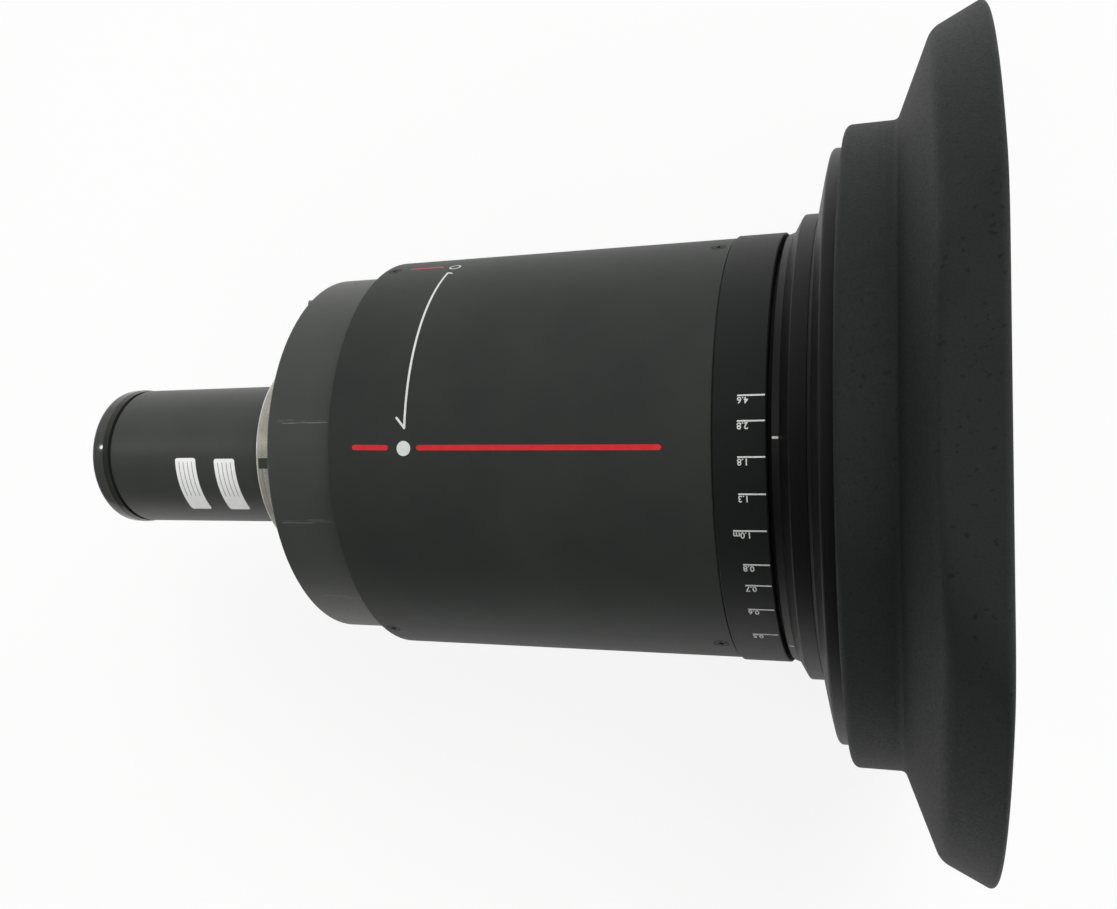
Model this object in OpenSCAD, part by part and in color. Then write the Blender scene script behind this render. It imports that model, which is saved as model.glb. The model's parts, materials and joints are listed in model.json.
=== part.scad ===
// Ultra-wide motorised-focus projection lens with a bayonet mount collar and a large hood.
// The optical axis is +X, towards the screen. +Z is up when the lens is mounted.
// The origin is on the axis, at the shoulder where the sleeve meets the projector.
// An angle is turned about +X from the top line (+Z) towards -Y.

/* [Mount collar] */
// Radius of the collar that slides into the projector
collar_r = 73.15; // [70:0.05:74]
// Length of the collar behind the shoulder
collar_len = 29; // [24:0.5:36]
// Thickness of the collar's round wall
collar_wall = 6; // [4:0.5:8]
// Thickness of the collar's rear plate
collar_plate = 7; // [5:0.5:9]
// Length of the spigot that carries the sleeve
spigot_len = 12; // [10:0.5:16]
// Wall of that spigot
spigot_wall = 5; // [4:0.5:7]
// Radius of the locating pin in the collar's rear face
key_pin_r = 1.7; // [1.4:0.1:1.9]

/* [Sleeve] */
// Outer radius of the sleeve
sleeve_r = 78.5; // [78:0.1:82]
// Wall of the sleeve
sleeve_wall = 3; // [2.5:0.1:3.3]
// Length of the sleeve
sleeve_len = 135.7; // [130:0.1:150]

/* [Focus ring] */
// Outer radius of the focus scale ring
focus_r = 79.3; // [79:0.1:83]
// Width of the focus scale ring
focus_w = 16.7; // [16.7:0.1:20]
// Wall of the ring's skin
focus_wall = 4.3; // [3.8:0.1:4.8]
// Thickness of the ring's inner web
web_t = 3; // [2.5:0.1:4]
// Open groove between the scale ring and the index ring
groove_w = 1.2; // [0.8:0.1:2]

/* [Front barrel] */
// Width of the index ring
index_w = 2.7; // [2:0.1:4]
// Length of the cone in front of the index ring
cone_len = 3.2; // [2.5:0.1:5]
// Radius of the shoulder ring
shoulder_r = 85.1; // [83.5:0.1:88]
// Width of the shoulder ring
shoulder_w = 5.4; // [4.5:0.1:8]

/* [Hood] */
// Width of the adapter's rim round the front cell
adapter_rim = 5.5; // [5.2:0.1:6.7]
// Length of the adapter
adapter_len = 9.6; // [9.5:0.1:12]
// Width of the hood's back plate
hood_back_w = 12.1; // [11.1:0.1:16.1]
// Length of the hood's straight part
hood_len = 16.7; // [15:0.1:20]
// Radius at the end of the steep flare
flare_r = 140.8; // [138:0.1:144]
// Length of the steep flare
flare_len = 10.5; // [8:0.1:14]
// Radius of the rim
rim_r = 148.2; // [146:0.1:152]
// Length of the shallow flare up to the rim
rim_len = 15.8; // [12:0.1:22]
// Distance of the hood's flats from the axis
flat_z = 135.5; // [134:0.1:138]
// Wall of the hood
hood_wall = 3; // [2.5:0.1:4]

/* [Rear barrel] */
// Outer radius of the rear barrel
rear_r = 29.9; // [28:0.1:32]
// Length of the rear barrel behind the hub
rear_len = 93.1; // [85:0.1:105]
// Wall of the rear barrel
rear_wall = 3.4; // [2.8:0.1:4]
// Length of the end ring
end_ring_len = 8.9; // [8:0.1:12]
// Width of the groove in front of the end ring
end_groove = 2.1; // [1:0.1:3]
// Outer radius of the bright hub
hub_r = 42; // [40:0.5:44]
// Length of the hub behind the collar
hub_len = 26; // [22:0.5:32]

/* [Inner barrel] */
// Bore radius of the inner barrel
bore_r = 49; // [48.5:0.1:49.5]
// Wall of the inner barrel
bore_wall = 3; // [2.5:0.1:3.2]
// Wall of the cam tube
cam_wall = 3.4; // [2.8:0.1:3.4]

/* [Focus drive] */
// Tooth size of the gears, as a module
gear_mod = 1; // [0.9:0.05:1]
// Teeth that a full focus gear would have
ring_teeth = 118; // [118:1:120]
// Turn of the focus ring from rest to the far stop, in degrees
turn_far = 21; // [15:1:24]
// Turn of the focus ring from rest to the near stop, in degrees
turn_near = 56; // [45:1:58]
// Travel of the focus group for a whole turn of the cam
cam_lead = 19.2; // [15:0.1:22]
// Radius of the motor and its gearbox
motor_r = 9; // [7:0.1:9.2]
// Length of the gearbox
gearbox_len = 24; // [18:1:26]

/* [Glass] */
// Radius of the front dome glass
dome_r = 96; // [94:0.5:96]
// Curve radius of the dome's front face
dome_front_rc = 240; // [230:5:300]
// Curve radius of the dome's rear face
dome_rear_rc = 170; // [165:5:200]
// Thickness of the dome in its middle
dome_t = 12; // [9:0.5:14]

/* [Hidden] */
$fn = 96;

// Small chamfer on the turned edges that show
edge = 0.35;

// Clearances and the overrun of cuts
run_gap = 0.05;
seat_gap = 0.1;
ring_gap = 0.3;
cut = 1;

// Stations along the axis
x_collar = -collar_len;
x_plate = x_collar + collar_plate;
x_hub = x_collar - hub_len;
x_rear = x_hub - rear_len;
x_end_ring = x_rear + end_ring_len;
x_scale = sleeve_len + ring_gap;
x_scale_end = x_scale + focus_w;
x_index = x_scale_end + groove_w;
x_cone = x_index + index_w;
x_shoulder = x_cone + cone_len;
x_adapter = x_shoulder + shoulder_w;
x_hood = x_adapter + adapter_len;
x_flare = x_hood + hood_len;
x_lip = x_flare + flare_len;
x_rim = x_lip + rim_len;

// Radii that follow from the walls
sleeve_bore = sleeve_r - sleeve_wall;
spigot_r = sleeve_bore - run_gap;
barrel_r = bore_r + bore_wall;
cam_bore = barrel_r + run_gap;
cam_r = cam_bore + cam_wall;
focus_bore = focus_r - focus_wall;
rear_bore = rear_r - rear_wall;

// Screws: radius of the shank, radius and height of the head
small_screw = [1.25, 2.35, 1.5];
cap_screw = [1.5, 2.75, 2];
thread_gap = 0.05;
sink_gap = 0.3;
recess_w = 0.7;
recess_depth = 0.9;
hex_r = 1.35;
hex_depth = 1.2;
sleeve_screw_len = 5.5;
sleeve_screw_inset = 4.5;
sleeve_screw_angles = [-63, 61, 180];

// Collar details
collar_chamfer = 0.8;
guide_w = 0.8;
guide_depth = 0.35;
guide_end = 4;
guide_angles = [-8, 21, 50, 112, 141, 170, 232, 261, 290];
key_pin_angle = -56;
key_pin_skin = 0.25;
key_pin_inset = collar_chamfer + key_pin_skin;
key_pin_proud = 2.2;
key_pin_len = 8;

// Hub details
hub_flange_r = 56;
hub_flange_t = 4;
hub_lip = 1.2;
hub_slot_w = 4.3;
hub_slot_depth = 3;
hub_slot_angle = 6.3;
hub_land = 6;
hub_screw_r = 49;
hub_screw_len = 9;
hub_screw_count = 6;

// Rear barrel details
end_round = 1.4;
end_lip = 2.2;
end_mouth_r = 22.5;
neck_drop = 1.9;
neck_r = rear_r - neck_drop;
neck_end_gap = 0.3;
barrel_foot = 8;
element_lip = 2;
rear_glass_r = rear_bore - seat_gap;
rear_glass_a_t = 11;
rear_glass_a_rc = [150, 60];
rear_spacer_len = 22;
rear_spacer_wall = 3;
rear_glass_b_t = 14;
rear_glass_b_rc = [80, 55];
rear_ring_len = 4;

// Inner barrel details
barrel_flange_t = 5;
barrel_flange_r = 64;
barrel_screw_r = 58.5;
barrel_screw_len = 10;
front_flange_t = 4;
front_flange_r = 62;
screw_six = 6;

// Middle cell, which holds the fixed group behind the focus group
mid_x = -8;
mid_len = 56;
mid_wall = 4;
mid_step = 1.5;
mid_glass_a_t = 15;
mid_glass_a_rc = [140, 95];
mid_glass_b_t = 7;
mid_glass_b_rc = [-80, -90];
aperture_t = 1.2;
aperture_r = 24;
mid_ring_len = 4;

// Focus cell, which slides in the inner barrel
cell_len = 46;
cell_x = 77;
cell_wall = 4.4;
cell_lip = 2.5;
focus_glass_a_t = 14;
focus_glass_a_rc = [160, 110];
focus_glass_b_t = 8;
focus_glass_b_rc = [-75, 120];
focus_ring_nut = 4;
pin_r = 1.95;
pin_count = 3;
pin_angle = 30;
pin_x = cell_x + cell_len / 2;
roller_r = 2.9;
roller_gap = 0.3;
cam_slot_steps = 7;
cam_start_gap = 12;
cam_flange_r = 62;
cam_flange_t = 3;

// Front of the drive: bulkhead, gears, motor and sensor
bulkhead_t = 7.5;
bulkhead_gap = 1;
bulkhead_clear = 0.4;
gear_t = 4;
pinion_teeth = 12;
addendum = 0.65 * gear_mod;
dedendum = 0.95 * gear_mod;
pressure_angle = 20;
tooth_thin = 0.12;
flank_steps = 3;
ring_pitch_r = ring_teeth * gear_mod / 2;
pinion_pitch_r = pinion_teeth * gear_mod / 2;
shaft_offset = ring_pitch_r + pinion_pitch_r;
tooth_angle = 360 / ring_teeth;
motor_angle = 130;
sensor_teeth_away = 12;
sensor_angle = motor_angle + sensor_teeth_away * tooth_angle;
sector_spare = 6;
sector_rim = 1;
shaft_r = 2;
shaft_gap = 0.04;
pinion_gap = 0.6;
sensor_r = 8;
sensor_len = 12;
motor_cap_r = 4;
motor_cap_t = 3;
cam_screw_r = 58.7;
cam_screw_len = 5.6;
cam_screw_start = 15;
lug_angle = -60;
lug_half = 2;
lug_r = 64.5;
switch_away = 9;
switch_size = [5, 6, 9];
switch_r = 60.6;
x_bulkhead_end = sleeve_len - bulkhead_gap;
x_bulkhead = x_bulkhead_end - bulkhead_t;
x_gear = x_scale;
x_web = x_gear + gear_t;
x_web_end = x_web + web_t;
x_flange_end = x_web_end + cam_flange_t;

// Electronics in the space behind the cam tube
board_angle = -120;
board_size = [44, 44, 1.6];
board_r = 57.5;
board_x = 16;
standoff_r = 2.5;
standoff_inset = 5;
chip_sizes = [[12, 12, 1.6], [9, 6, 1.4], [6, 14, 5]];
chip_shares = [[0.35, 0.35], [0.7, 0.25], [0.62, 0.72]];
contact_angle = 180;
contact_size = [7, 30, 8];
contact_r = 63;
contact_pin_r = 0.7;
contact_pin_proud = 2;
contact_pin_count = 8;
contact_pin_step = 3.2;
wire_r = 1;
loom_r = 1.4;
joint_r = 1.7;
wire_turn_r = shaft_offset;
wire_rear_gap = 7;
wire_front_gap = 3.5;
motor_wire = 3.7;
plug_size = [6, 12, 8];
plug_inset = 1;
board_screw_len = 4;

// The loom turns between the board and the motor, and the motor fills the rest
x_loom = board_x + board_size[0] + wire_front_gap;
x_motor = x_bulkhead - gearbox_len;
motor_len = x_motor - motor_cap_t - motor_wire - x_loom;

// Front group details
bushing_wall = 1.5;
bushing_len = 7;
spigot_front_wall = 3;
front_web_t = 4;
front_bore = 68;
front_screw_r = 57;
front_screw_len = 7;
adapter_screw_r = 76.5;
adapter_screw_len = 9;
adapter_face = 3;
adapter_face_drop = 3.5;
adapter_round = 3.5;
adapter_plate = 4.3;
adapter_bore = 70;
cell_seat_wall = 5.2;
cell_seat_r = dome_r + cell_seat_wall;
cell_gap = 0.1;
adapter_r = cell_seat_r + cell_gap + adapter_rim;
cell_base_t = 3;
cell_tube_r = 61.5;
cell_tube_bore = 58.1;
cell_screw_inset = 5;
cell_screw_r = dome_r - cell_screw_inset;
cell_screw_len = 5.2;
glass_b_r = 58;
glass_b_edge_x = 8.3;
glass_b_air = 3;
glass_b_t = 8;
glass_b_hollow_r = 46;
glass_b_lip = 4;
glass_b_lip_t = 1.5;
gasket_t = 0.5;
gasket_w = 9;
dome_land = 12;
dome_hollow_r = dome_r - dome_land;
retainer_overlap = 1.5;
retainer_gap = 0.3;
retainer_t = 3.6;
retainer_skirt = 5.5;
retainer_wall = 2.8;
notch_w = 5;
notch_depth = 1.2;
notch_count = 4;

// Hood details
hood_seat_gap = 0.7;
hood_back_bore = cell_seat_r + hood_seat_gap;
hood_r = hood_back_bore + hood_back_w;
hood_back_t = 4;
hood_round = 2.2;
flare_round = 1.6;
lip_round = 6;
rim_round = 1.4;
hood_screw_inset = 2.85;
hood_screw_r = cell_seat_r + hood_screw_inset;
hood_screw_len = 8;
hood_screw_count = 8;
arc_steps = 6;
glass_steps = 10;
dome_steps = 18;

// Body of revolution about the optical axis, from points [x, radius]
module lathe(points, sweep = 360)
    rotate([0, 90, 0])
        rotate_extrude(angle = sweep)
            polygon([for (p = points) [p[1], p[0]]]);

module tube(x0, x1, inner, outer)
    lathe([[x0, inner], [x1, inner], [x1, outer], [x0, outer]]);

module rod(x0, x1, r)
    translate([x0, 0, 0])
        rotate([0, 90, 0])
            cylinder(h = x1 - x0, r = r);

// Part of a tube between two angles
module arc_tube(x0, x1, inner, outer, from, to)
    rotate([from - 180, 0, 0])
        lathe([[x0, inner], [x1, inner], [x1, outer], [x0, outer]], to - from);

// Places children that are built along +Z so that they point outwards
module outward(angle, r, x)
    rotate([angle, 0, 0])
        translate([x, 0, r])
            children();

// Places children that are built along +Z so that they point along +X
module forward(angle, r, x)
    outward(angle, r, x)
        rotate([0, 90, 0])
            children();

// The same, pointing along -X
module backward(angle, r, x)
    outward(angle, r, x)
        rotate([0, -90, 0])
            children();

// Points of an arc about a centre, from one angle to another
function arc(centre, r, from, to, steps = arc_steps) =
    [for (i = [0:steps])
        let (a = from + (to - from) * i / steps)
        centre + r * [cos(a), sin(a)]];

// Unit vector from one point to another
function aim(from, to) = (to - from) / norm(to - from);

// Rounds the corner b between a and c with a radius
function round_corner(a, b, c, r) =
    let (u = aim(b, a), v = aim(b, c),
         half = acos(u * v) / 2,
         centre = b + aim([0, 0], u + v) * r / sin(half),
         p = b + u * r / tan(half) - centre,
         q = b + v * r / tan(half) - centre,
         from = atan2(p[1], p[0]),
         turn = atan2(p[0] * q[1] - p[1] * q[0], p * q))
    arc(centre, r, from, from + turn);

// Depth of a spherical face at a radius
function sag(rc, r) = rc - sqrt(rc * rc - r * r);

// Half outline of a spherical face. Side is 1 on the rear face and -1 on the front face.
// A positive curve bulges out and a negative one is hollow, up to the clear radius.
function face_points(x, side, rc, clear_r, edge_r, steps) =
    concat(
        [for (i = [0:steps])
            let (r = clear_r * i / steps)
            [x + side * sign(rc) * sag(abs(rc), r), r]],
        clear_r < edge_r ? [[x + side * sign(rc) * sag(abs(rc), clear_r), edge_r]] : []);
function reversed(list) = [for (i = [len(list) - 1:-1:0]) list[i]];

// Round glass between two vertices. A hollow rear face stops at hollow_r and leaves a flat seat.
module glass(x0, x1, r, rear_rc, front_rc, hollow_r = 0, steps = glass_steps) {
    rear_clear = rear_rc < 0 && hollow_r > 0 ? hollow_r : r;
    front_clear = front_rc < 0 && hollow_r > 0 ? hollow_r : r;
    lathe(concat(
        face_points(x0, 1, rear_rc, rear_clear, r, steps),
        reversed(face_points(x1, -1, front_rc, front_clear, r, steps))));
}

// Countersunk screw with a cross recess. Its top is at z = 0 and it points to -Z.
module sunk_screw(size, len)
    difference() {
        union() {
            translate([0, 0, -size[2]])
                cylinder(h = size[2], r1 = size[0], r2 = size[1]);
            translate([0, 0, -len])
                cylinder(h = len - size[2] / 2, r = size[0]);
        }
        for (turn = [0, 90])
            rotate([0, 0, turn])
                translate([-size[0], -recess_w / 2, -recess_depth])
                    cube([2 * size[0], recess_w, recess_depth + cut]);
    }

module sunk_hole(size, len) {
    translate([0, 0, -size[2] - sink_gap])
        cylinder(h = size[2] + sink_gap, r1 = size[0] + thread_gap, r2 = size[1] + sink_gap);
    translate([0, 0, -len - thread_gap])
        cylinder(h = len + cut, r = size[0] + thread_gap);
    translate([0, 0, -thread_gap])
        cylinder(h = cut, r = size[1] + sink_gap);
}

// Low cap screw with a hexagon socket. Its head sits on z = 0 and it points to -Z.
module cap_bolt(size, len)
    difference() {
        union() {
            cylinder(h = size[2], r = size[1]);
            translate([0, 0, -len])
                cylinder(h = len + size[2] / 2, r = size[0]);
        }
        translate([0, 0, size[2] - hex_depth])
            cylinder(h = hex_depth + cut, r = hex_r, $fn = 6);
    }

module bolt_hole(size, len)
    translate([0, 0, -len - thread_gap])
        cylinder(h = len + 2 * cut, r = size[0] + thread_gap);

// Gear teeth by the involute rule
function involute(a) = tan(a) * 180 / PI - a;
function half_tooth(teeth, r) =
    let (pitch = teeth * gear_mod / 2, base = pitch * cos(pressure_angle))
    90 / teeth + involute(pressure_angle) - involute(acos(min(1, base / r)))
    - tooth_thin / pitch * 180 / PI;
function tooth_radii(teeth) =
    let (pitch = teeth * gear_mod / 2, root = pitch - dedendum, tip = pitch + addendum,
         base = max(root, pitch * cos(pressure_angle)))
    concat([root], [for (i = [0:flank_steps]) base + (tip - base) * i / flank_steps]);
function tooth(teeth, middle) =
    let (radii = tooth_radii(teeth), last = len(radii) - 1)
    concat(
        [for (r = radii) let (a = middle - half_tooth(teeth, r)) r * [cos(a), sin(a)]],
        [for (i = [last:-1:0]) let (a = middle + half_tooth(teeth, radii[i]))
            radii[i] * [cos(a), sin(a)]]);

module pinion_shape(h)
    linear_extrude(height = h)
        polygon([for (i = [0:pinion_teeth - 1]) each tooth(pinion_teeth, i * 360 / pinion_teeth)]);

// Rear group

module rear_end_ring() {
    color("#141516")
        difference() {
            lathe(concat(
                [[x_rear, end_mouth_r]],
                arc([x_rear + end_round, rear_r - end_round], end_round, 180, 90),
                [[x_end_ring, rear_r], [x_end_ring, end_mouth_r]]));
            rod(x_rear + end_lip, x_end_ring + cut, neck_r + thread_gap);
        }
}

module rear_barrel() {
    x_neck = x_rear + end_lip + neck_end_gap;
    x_foot = x_plate + barrel_foot;
    color("#1b1d1e")
        difference() {
            lathe([[x_neck, rear_bore - element_lip], [x_neck, neck_r],
                [x_end_ring + end_groove, neck_r], [x_end_ring + end_groove, rear_r],
                [x_foot, rear_r], [x_foot, rear_bore - element_lip]]);
            rod(x_neck + element_lip, x_foot + cut, rear_bore);
        }
}

x_rear_seat = x_rear + end_lip + neck_end_gap + element_lip;
x_rear_a = x_rear_seat - sag(rear_glass_a_rc[0], rear_bore - element_lip);
module rear_element_a() {
    color("#9fb8c4", 0.5)
        glass(x_rear_a, x_rear_a + rear_glass_a_t, rear_glass_r,
            rear_glass_a_rc[0], rear_glass_a_rc[1]);
}

x_rear_ring = x_rear_a + rear_glass_a_t - sag(rear_glass_a_rc[1], rear_glass_r - rear_spacer_wall);
module rear_spacer() {
    color("#2a2b2d")
        tube(x_rear_ring, x_rear_ring + rear_spacer_len, rear_glass_r - rear_spacer_wall, rear_glass_r);
}

x_rear_b = x_rear_ring + rear_spacer_len - sag(rear_glass_b_rc[0], rear_glass_r - rear_spacer_wall);
module rear_element_b() {
    color("#9fb8c4", 0.5)
        glass(x_rear_b, x_rear_b + rear_glass_b_t, rear_glass_r,
            rear_glass_b_rc[0], rear_glass_b_rc[1]);
}

x_rear_nut = x_rear_b + rear_glass_b_t - sag(rear_glass_b_rc[1], rear_glass_r - rear_spacer_wall);
module rear_retaining_ring() {
    color("#2a2b2d")
        tube(x_rear_nut, x_rear_nut + rear_ring_len, rear_glass_r - rear_spacer_wall, rear_glass_r);
}

// Mount

module mount_hub() {
    color("#b9b3a6")
        difference() {
            lathe([[x_hub, rear_r + run_gap], [x_hub, hub_r - edge], [x_hub + edge, hub_r],
                [x_collar - hub_flange_t, hub_r],
                [x_collar - hub_flange_t, hub_flange_r], [x_collar, hub_flange_r],
                [x_collar, hub_r], [x_plate - cut, hub_r], [x_plate - cut, rear_r + run_gap]]);
            rotate([hub_slot_angle, 0, 0])
                translate([x_hub + hub_lip, -hub_slot_w / 2, hub_r - hub_slot_depth])
                    cube([hub_len - hub_lip - hub_land, hub_slot_w, hub_slot_depth + cut]);
            hub_bolts() bolt_hole(cap_screw, hub_screw_len);
        }
}

module hub_bolts()
    for (i = [0:hub_screw_count - 1])
        backward(i * 360 / hub_screw_count + 180 / hub_screw_count, hub_screw_r,
            x_collar - hub_flange_t)
            children();

module hub_screws() {
    color("#8d8f92")
        hub_bolts() cap_bolt(cap_screw, hub_screw_len);
}

module mount_collar() {
    color("#232526")
        difference() {
            lathe([[x_collar, hub_r + run_gap], [x_collar, collar_r - collar_chamfer],
                [x_collar + collar_chamfer, collar_r], [0, collar_r], [0, spigot_r],
                [spigot_len, spigot_r], [spigot_len, spigot_r - spigot_wall],
                [0, collar_r - collar_wall], [x_plate, collar_r - collar_wall],
                [x_plate, hub_r + run_gap]]);
            for (a = guide_angles)
                rotate([a, 0, 0])
                    translate([x_collar + guide_end, -guide_w / 2, collar_r - guide_depth])
                        cube([collar_len - 2 * guide_end, guide_w, cut]);
            key_place()
                translate([0, 0, -key_pin_len - thread_gap])
                    cylinder(h = key_pin_len + cut, r = key_pin_r + thread_gap);
            hub_bolts() bolt_hole(cap_screw, hub_screw_len);
            barrel_bolts() bolt_hole(cap_screw, barrel_screw_len);
            rear_sleeve_screws() bolt_hole(small_screw, sleeve_screw_len);
            forward(contact_angle, wire_turn_r, x_collar - cut)
                cylinder(h = collar_plate + 2 * cut, r = wire_r + ring_gap);
        }
}

module key_place()
    backward(key_pin_angle, collar_r - key_pin_inset - key_pin_r, x_collar)
        children();

module collar_key_pin() {
    color("#8d8f92")
        key_place()
            translate([0, 0, -key_pin_len])
                cylinder(h = key_pin_len + key_pin_proud, r = key_pin_r);
}

module contact_block() {
    color("#2c2d2e")
        difference() {
            rotate([contact_angle, 0, 0])
                translate([x_collar - contact_size[0], -contact_size[1] / 2,
                    contact_r - contact_size[2] / 2])
                    cube(contact_size);
            contact_places()
                translate([0, 0, -cut])
                    cylinder(h = contact_size[0], r = contact_pin_r + thread_gap);
        }
}

module contact_places()
    for (i = [0:contact_pin_count - 1])
        rotate([contact_angle, 0, 0])
            translate([x_collar - contact_size[0],
                (i - (contact_pin_count - 1) / 2) * contact_pin_step, contact_r])
                rotate([0, 90, 0])
                    children();

module contact_pins() {
    color("#c9a24a")
        contact_places()
            translate([0, 0, -contact_pin_proud])
                cylinder(h = contact_pin_proud + contact_size[0] - 2 * cut, r = contact_pin_r);
}

// Inner barrel

module inner_barrel() {
    slot_back = cam_lead * turn_near / 360 + pin_r + ring_gap;
    slot_front = cam_lead * turn_far / 360 + pin_r + ring_gap;
    color("#3a3c3e")
        difference() {
            lathe([[x_plate, bore_r], [x_plate, barrel_flange_r],
                [x_plate + barrel_flange_t, barrel_flange_r], [x_plate + barrel_flange_t, barrel_r],
                [x_index - seat_gap, barrel_r], [x_index - seat_gap, bore_r]]);
            for (i = [0:pin_count - 1])
                rotate([pin_angle + i * 360 / pin_count, 0, 0])
                    translate([pin_x - slot_back, -pin_r - seat_gap, bore_r - cut])
                        cube([slot_back + slot_front, 2 * pin_r + 2 * seat_gap, bore_wall + 2 * cut]);
            barrel_bolts() bolt_hole(cap_screw, barrel_screw_len);
            rotate([contact_angle, 0, 0])
                translate([x_plate - cut, -contact_size[1] / 2, barrel_flange_r - contact_size[2] / 2])
                    cube([barrel_flange_t + 2 * cut, contact_size[1], contact_size[2]]);
        }
}

module barrel_bolts()
    for (i = [0:screw_six - 1])
        forward(i * 360 / screw_six + 180 / screw_six, barrel_screw_r, x_plate + barrel_flange_t)
            children();

module barrel_screws() {
    color("#8d8f92")
        barrel_bolts() cap_bolt(cap_screw, barrel_screw_len);
}

module barrel_flange() {
    color("#3a3c3e")
        difference() {
            tube(x_index - front_flange_t, x_index - seat_gap, barrel_r + thread_gap, front_flange_r);
            front_bolts() bolt_hole(cap_screw, front_screw_len);
        }
}

// Sleeve

module outer_sleeve() {
    color("#2d2f30")
        difference() {
            lathe([[0, sleeve_bore], [0, sleeve_r - edge], [edge, sleeve_r],
                [sleeve_len - edge, sleeve_r], [sleeve_len, sleeve_r - edge],
                [sleeve_len, sleeve_bore]]);
            rear_sleeve_screws() sunk_hole(small_screw, sleeve_screw_len);
            front_sleeve_screws() sunk_hole(small_screw, sleeve_screw_len);
        }
}

module rear_sleeve_screws()
    for (a = sleeve_screw_angles)
        outward(a, sleeve_r, sleeve_screw_inset)
            children();

module front_sleeve_screws()
    for (a = sleeve_screw_angles)
        outward(a, sleeve_r, sleeve_len - sleeve_screw_inset)
            children();

module sleeve_screws_rear() {
    color("#1f2021")
        rear_sleeve_screws() sunk_screw(small_screw, sleeve_screw_len);
}

module sleeve_screws_front() {
    color("#1f2021")
        front_sleeve_screws() sunk_screw(small_screw, sleeve_screw_len);
}

// Middle group

mid_r = bore_r - seat_gap;
mid_glass_r = mid_r - mid_wall - seat_gap;
x_mid_seat = mid_x + cell_lip;
module mid_cell() {
    color("#2a2b2d")
        difference() {
            rod(mid_x, mid_x + mid_len, mid_r);
            rod(mid_x - cut, mid_x + mid_len + cut, mid_glass_r - cell_lip);
            rod(x_mid_seat, mid_x + mid_len + cut, mid_glass_r + seat_gap);
        }
}

module mid_element_a() {
    color("#9fb8c4", 0.5)
        glass(x_mid_seat - sag(mid_glass_a_rc[0], mid_glass_r - cell_lip),
            x_mid_seat + mid_glass_a_t, mid_glass_r, mid_glass_a_rc[0], mid_glass_a_rc[1]);
}

x_aperture = x_mid_seat + mid_glass_a_t + mid_step;
module aperture_plate() {
    color("#151617")
        union() {
            tube(x_aperture, x_aperture + aperture_t, aperture_r, mid_glass_r);
            tube(x_aperture - mid_glass_a_t / 2, x_aperture + mid_step + aperture_t,
                mid_glass_r - mid_step, mid_glass_r);
        }
}

x_mid_b = x_aperture + aperture_t + mid_step;
module mid_element_b() {
    x0 = x_mid_b + sag(-mid_glass_b_rc[0], mid_glass_r - cell_lip);
    color("#9fb8c4", 0.5)
        glass(x0, x0 + mid_glass_b_t, mid_glass_r, mid_glass_b_rc[0], mid_glass_b_rc[1],
            mid_glass_r - cell_lip);
}

module mid_retaining_ring() {
    x0 = x_mid_b + sag(-mid_glass_b_rc[0], mid_glass_r - cell_lip) + mid_glass_b_t
        + sag(-mid_glass_b_rc[1], mid_glass_r - cell_lip);
    color("#2a2b2d")
        tube(x0, x0 + mid_ring_len, mid_glass_r - cell_lip, mid_glass_r);
}

// Motor drive

module front_bulkhead() {
    color("#4a4c4e")
        difference() {
            tube(x_bulkhead, x_bulkhead_end, cam_r + bulkhead_clear, spigot_r);
            for (a = [motor_angle, sensor_angle])
                forward(a, shaft_offset, x_bulkhead - cut)
                    cylinder(h = bulkhead_t + 2 * cut, r = shaft_r + shaft_gap);
            for (a = switch_angles)
                forward(a, shaft_offset, x_bulkhead - cut)
                    cylinder(h = bulkhead_t + 2 * cut, r = wire_r + ring_gap);
            front_sleeve_screws() bolt_hole(small_screw, sleeve_screw_len);
        }
}

module motor_gearbox() {
    color("#a8a9ab")
        forward(motor_angle, shaft_offset, x_motor)
            difference() {
                cylinder(h = gearbox_len, r = motor_r);
                translate([0, 0, gearbox_len / 2])
                    cylinder(h = gearbox_len, r = shaft_r + shaft_gap);
            }
}

module focus_motor() {
    color("#8a8c8f")
        forward(motor_angle, shaft_offset, x_motor - motor_len)
            union() {
                cylinder(h = motor_len, r = motor_r - seat_gap);
                translate([0, 0, -motor_cap_t])
                    cylinder(h = motor_cap_t + cut, r = motor_cap_r);
            }
}

// Pinion on its shaft, with a tooth that points at the lens axis
module drive_pinion(tail)
    difference() {
        union() {
            translate([0, 0, -tail])
                cylinder(h = tail + bulkhead_t + bulkhead_gap + ring_gap, r = shaft_r);
            translate([0, 0, bulkhead_t + pinion_gap])
                pinion_shape(gear_t);
        }
        translate([0, 0, bulkhead_t + pinion_gap + gear_t - hex_depth])
            cylinder(h = hex_depth + cut, r = hex_r);
    }

module motor_pinion() {
    color("#c9a24a")
        forward(motor_angle, shaft_offset, x_bulkhead)
            drive_pinion(gearbox_len / 2 - cut);
}

module sensor_gear() {
    color("#d8d4c4")
        forward(sensor_angle, shaft_offset, x_bulkhead)
            drive_pinion(sensor_len / 2);
}

module sensor_body() {
    color("#2b4f7d")
        forward(sensor_angle, shaft_offset, x_bulkhead - sensor_len)
            difference() {
                cylinder(h = sensor_len, r = sensor_r);
                translate([0, 0, sensor_len / 2 - cut])
                    cylinder(h = sensor_len, r = shaft_r + shaft_gap);
            }
}

switch_angles = [lug_angle + turn_far + switch_away, lug_angle - turn_near - switch_away];
module limit_switches() {
    color("#26282a")
        for (a = switch_angles)
            rotate([a, 0, 0])
                translate([x_bulkhead_end, -switch_size[1] / 2, switch_r])
                    cube([switch_size[0], switch_size[1], switch_size[2]]);
}

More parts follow.
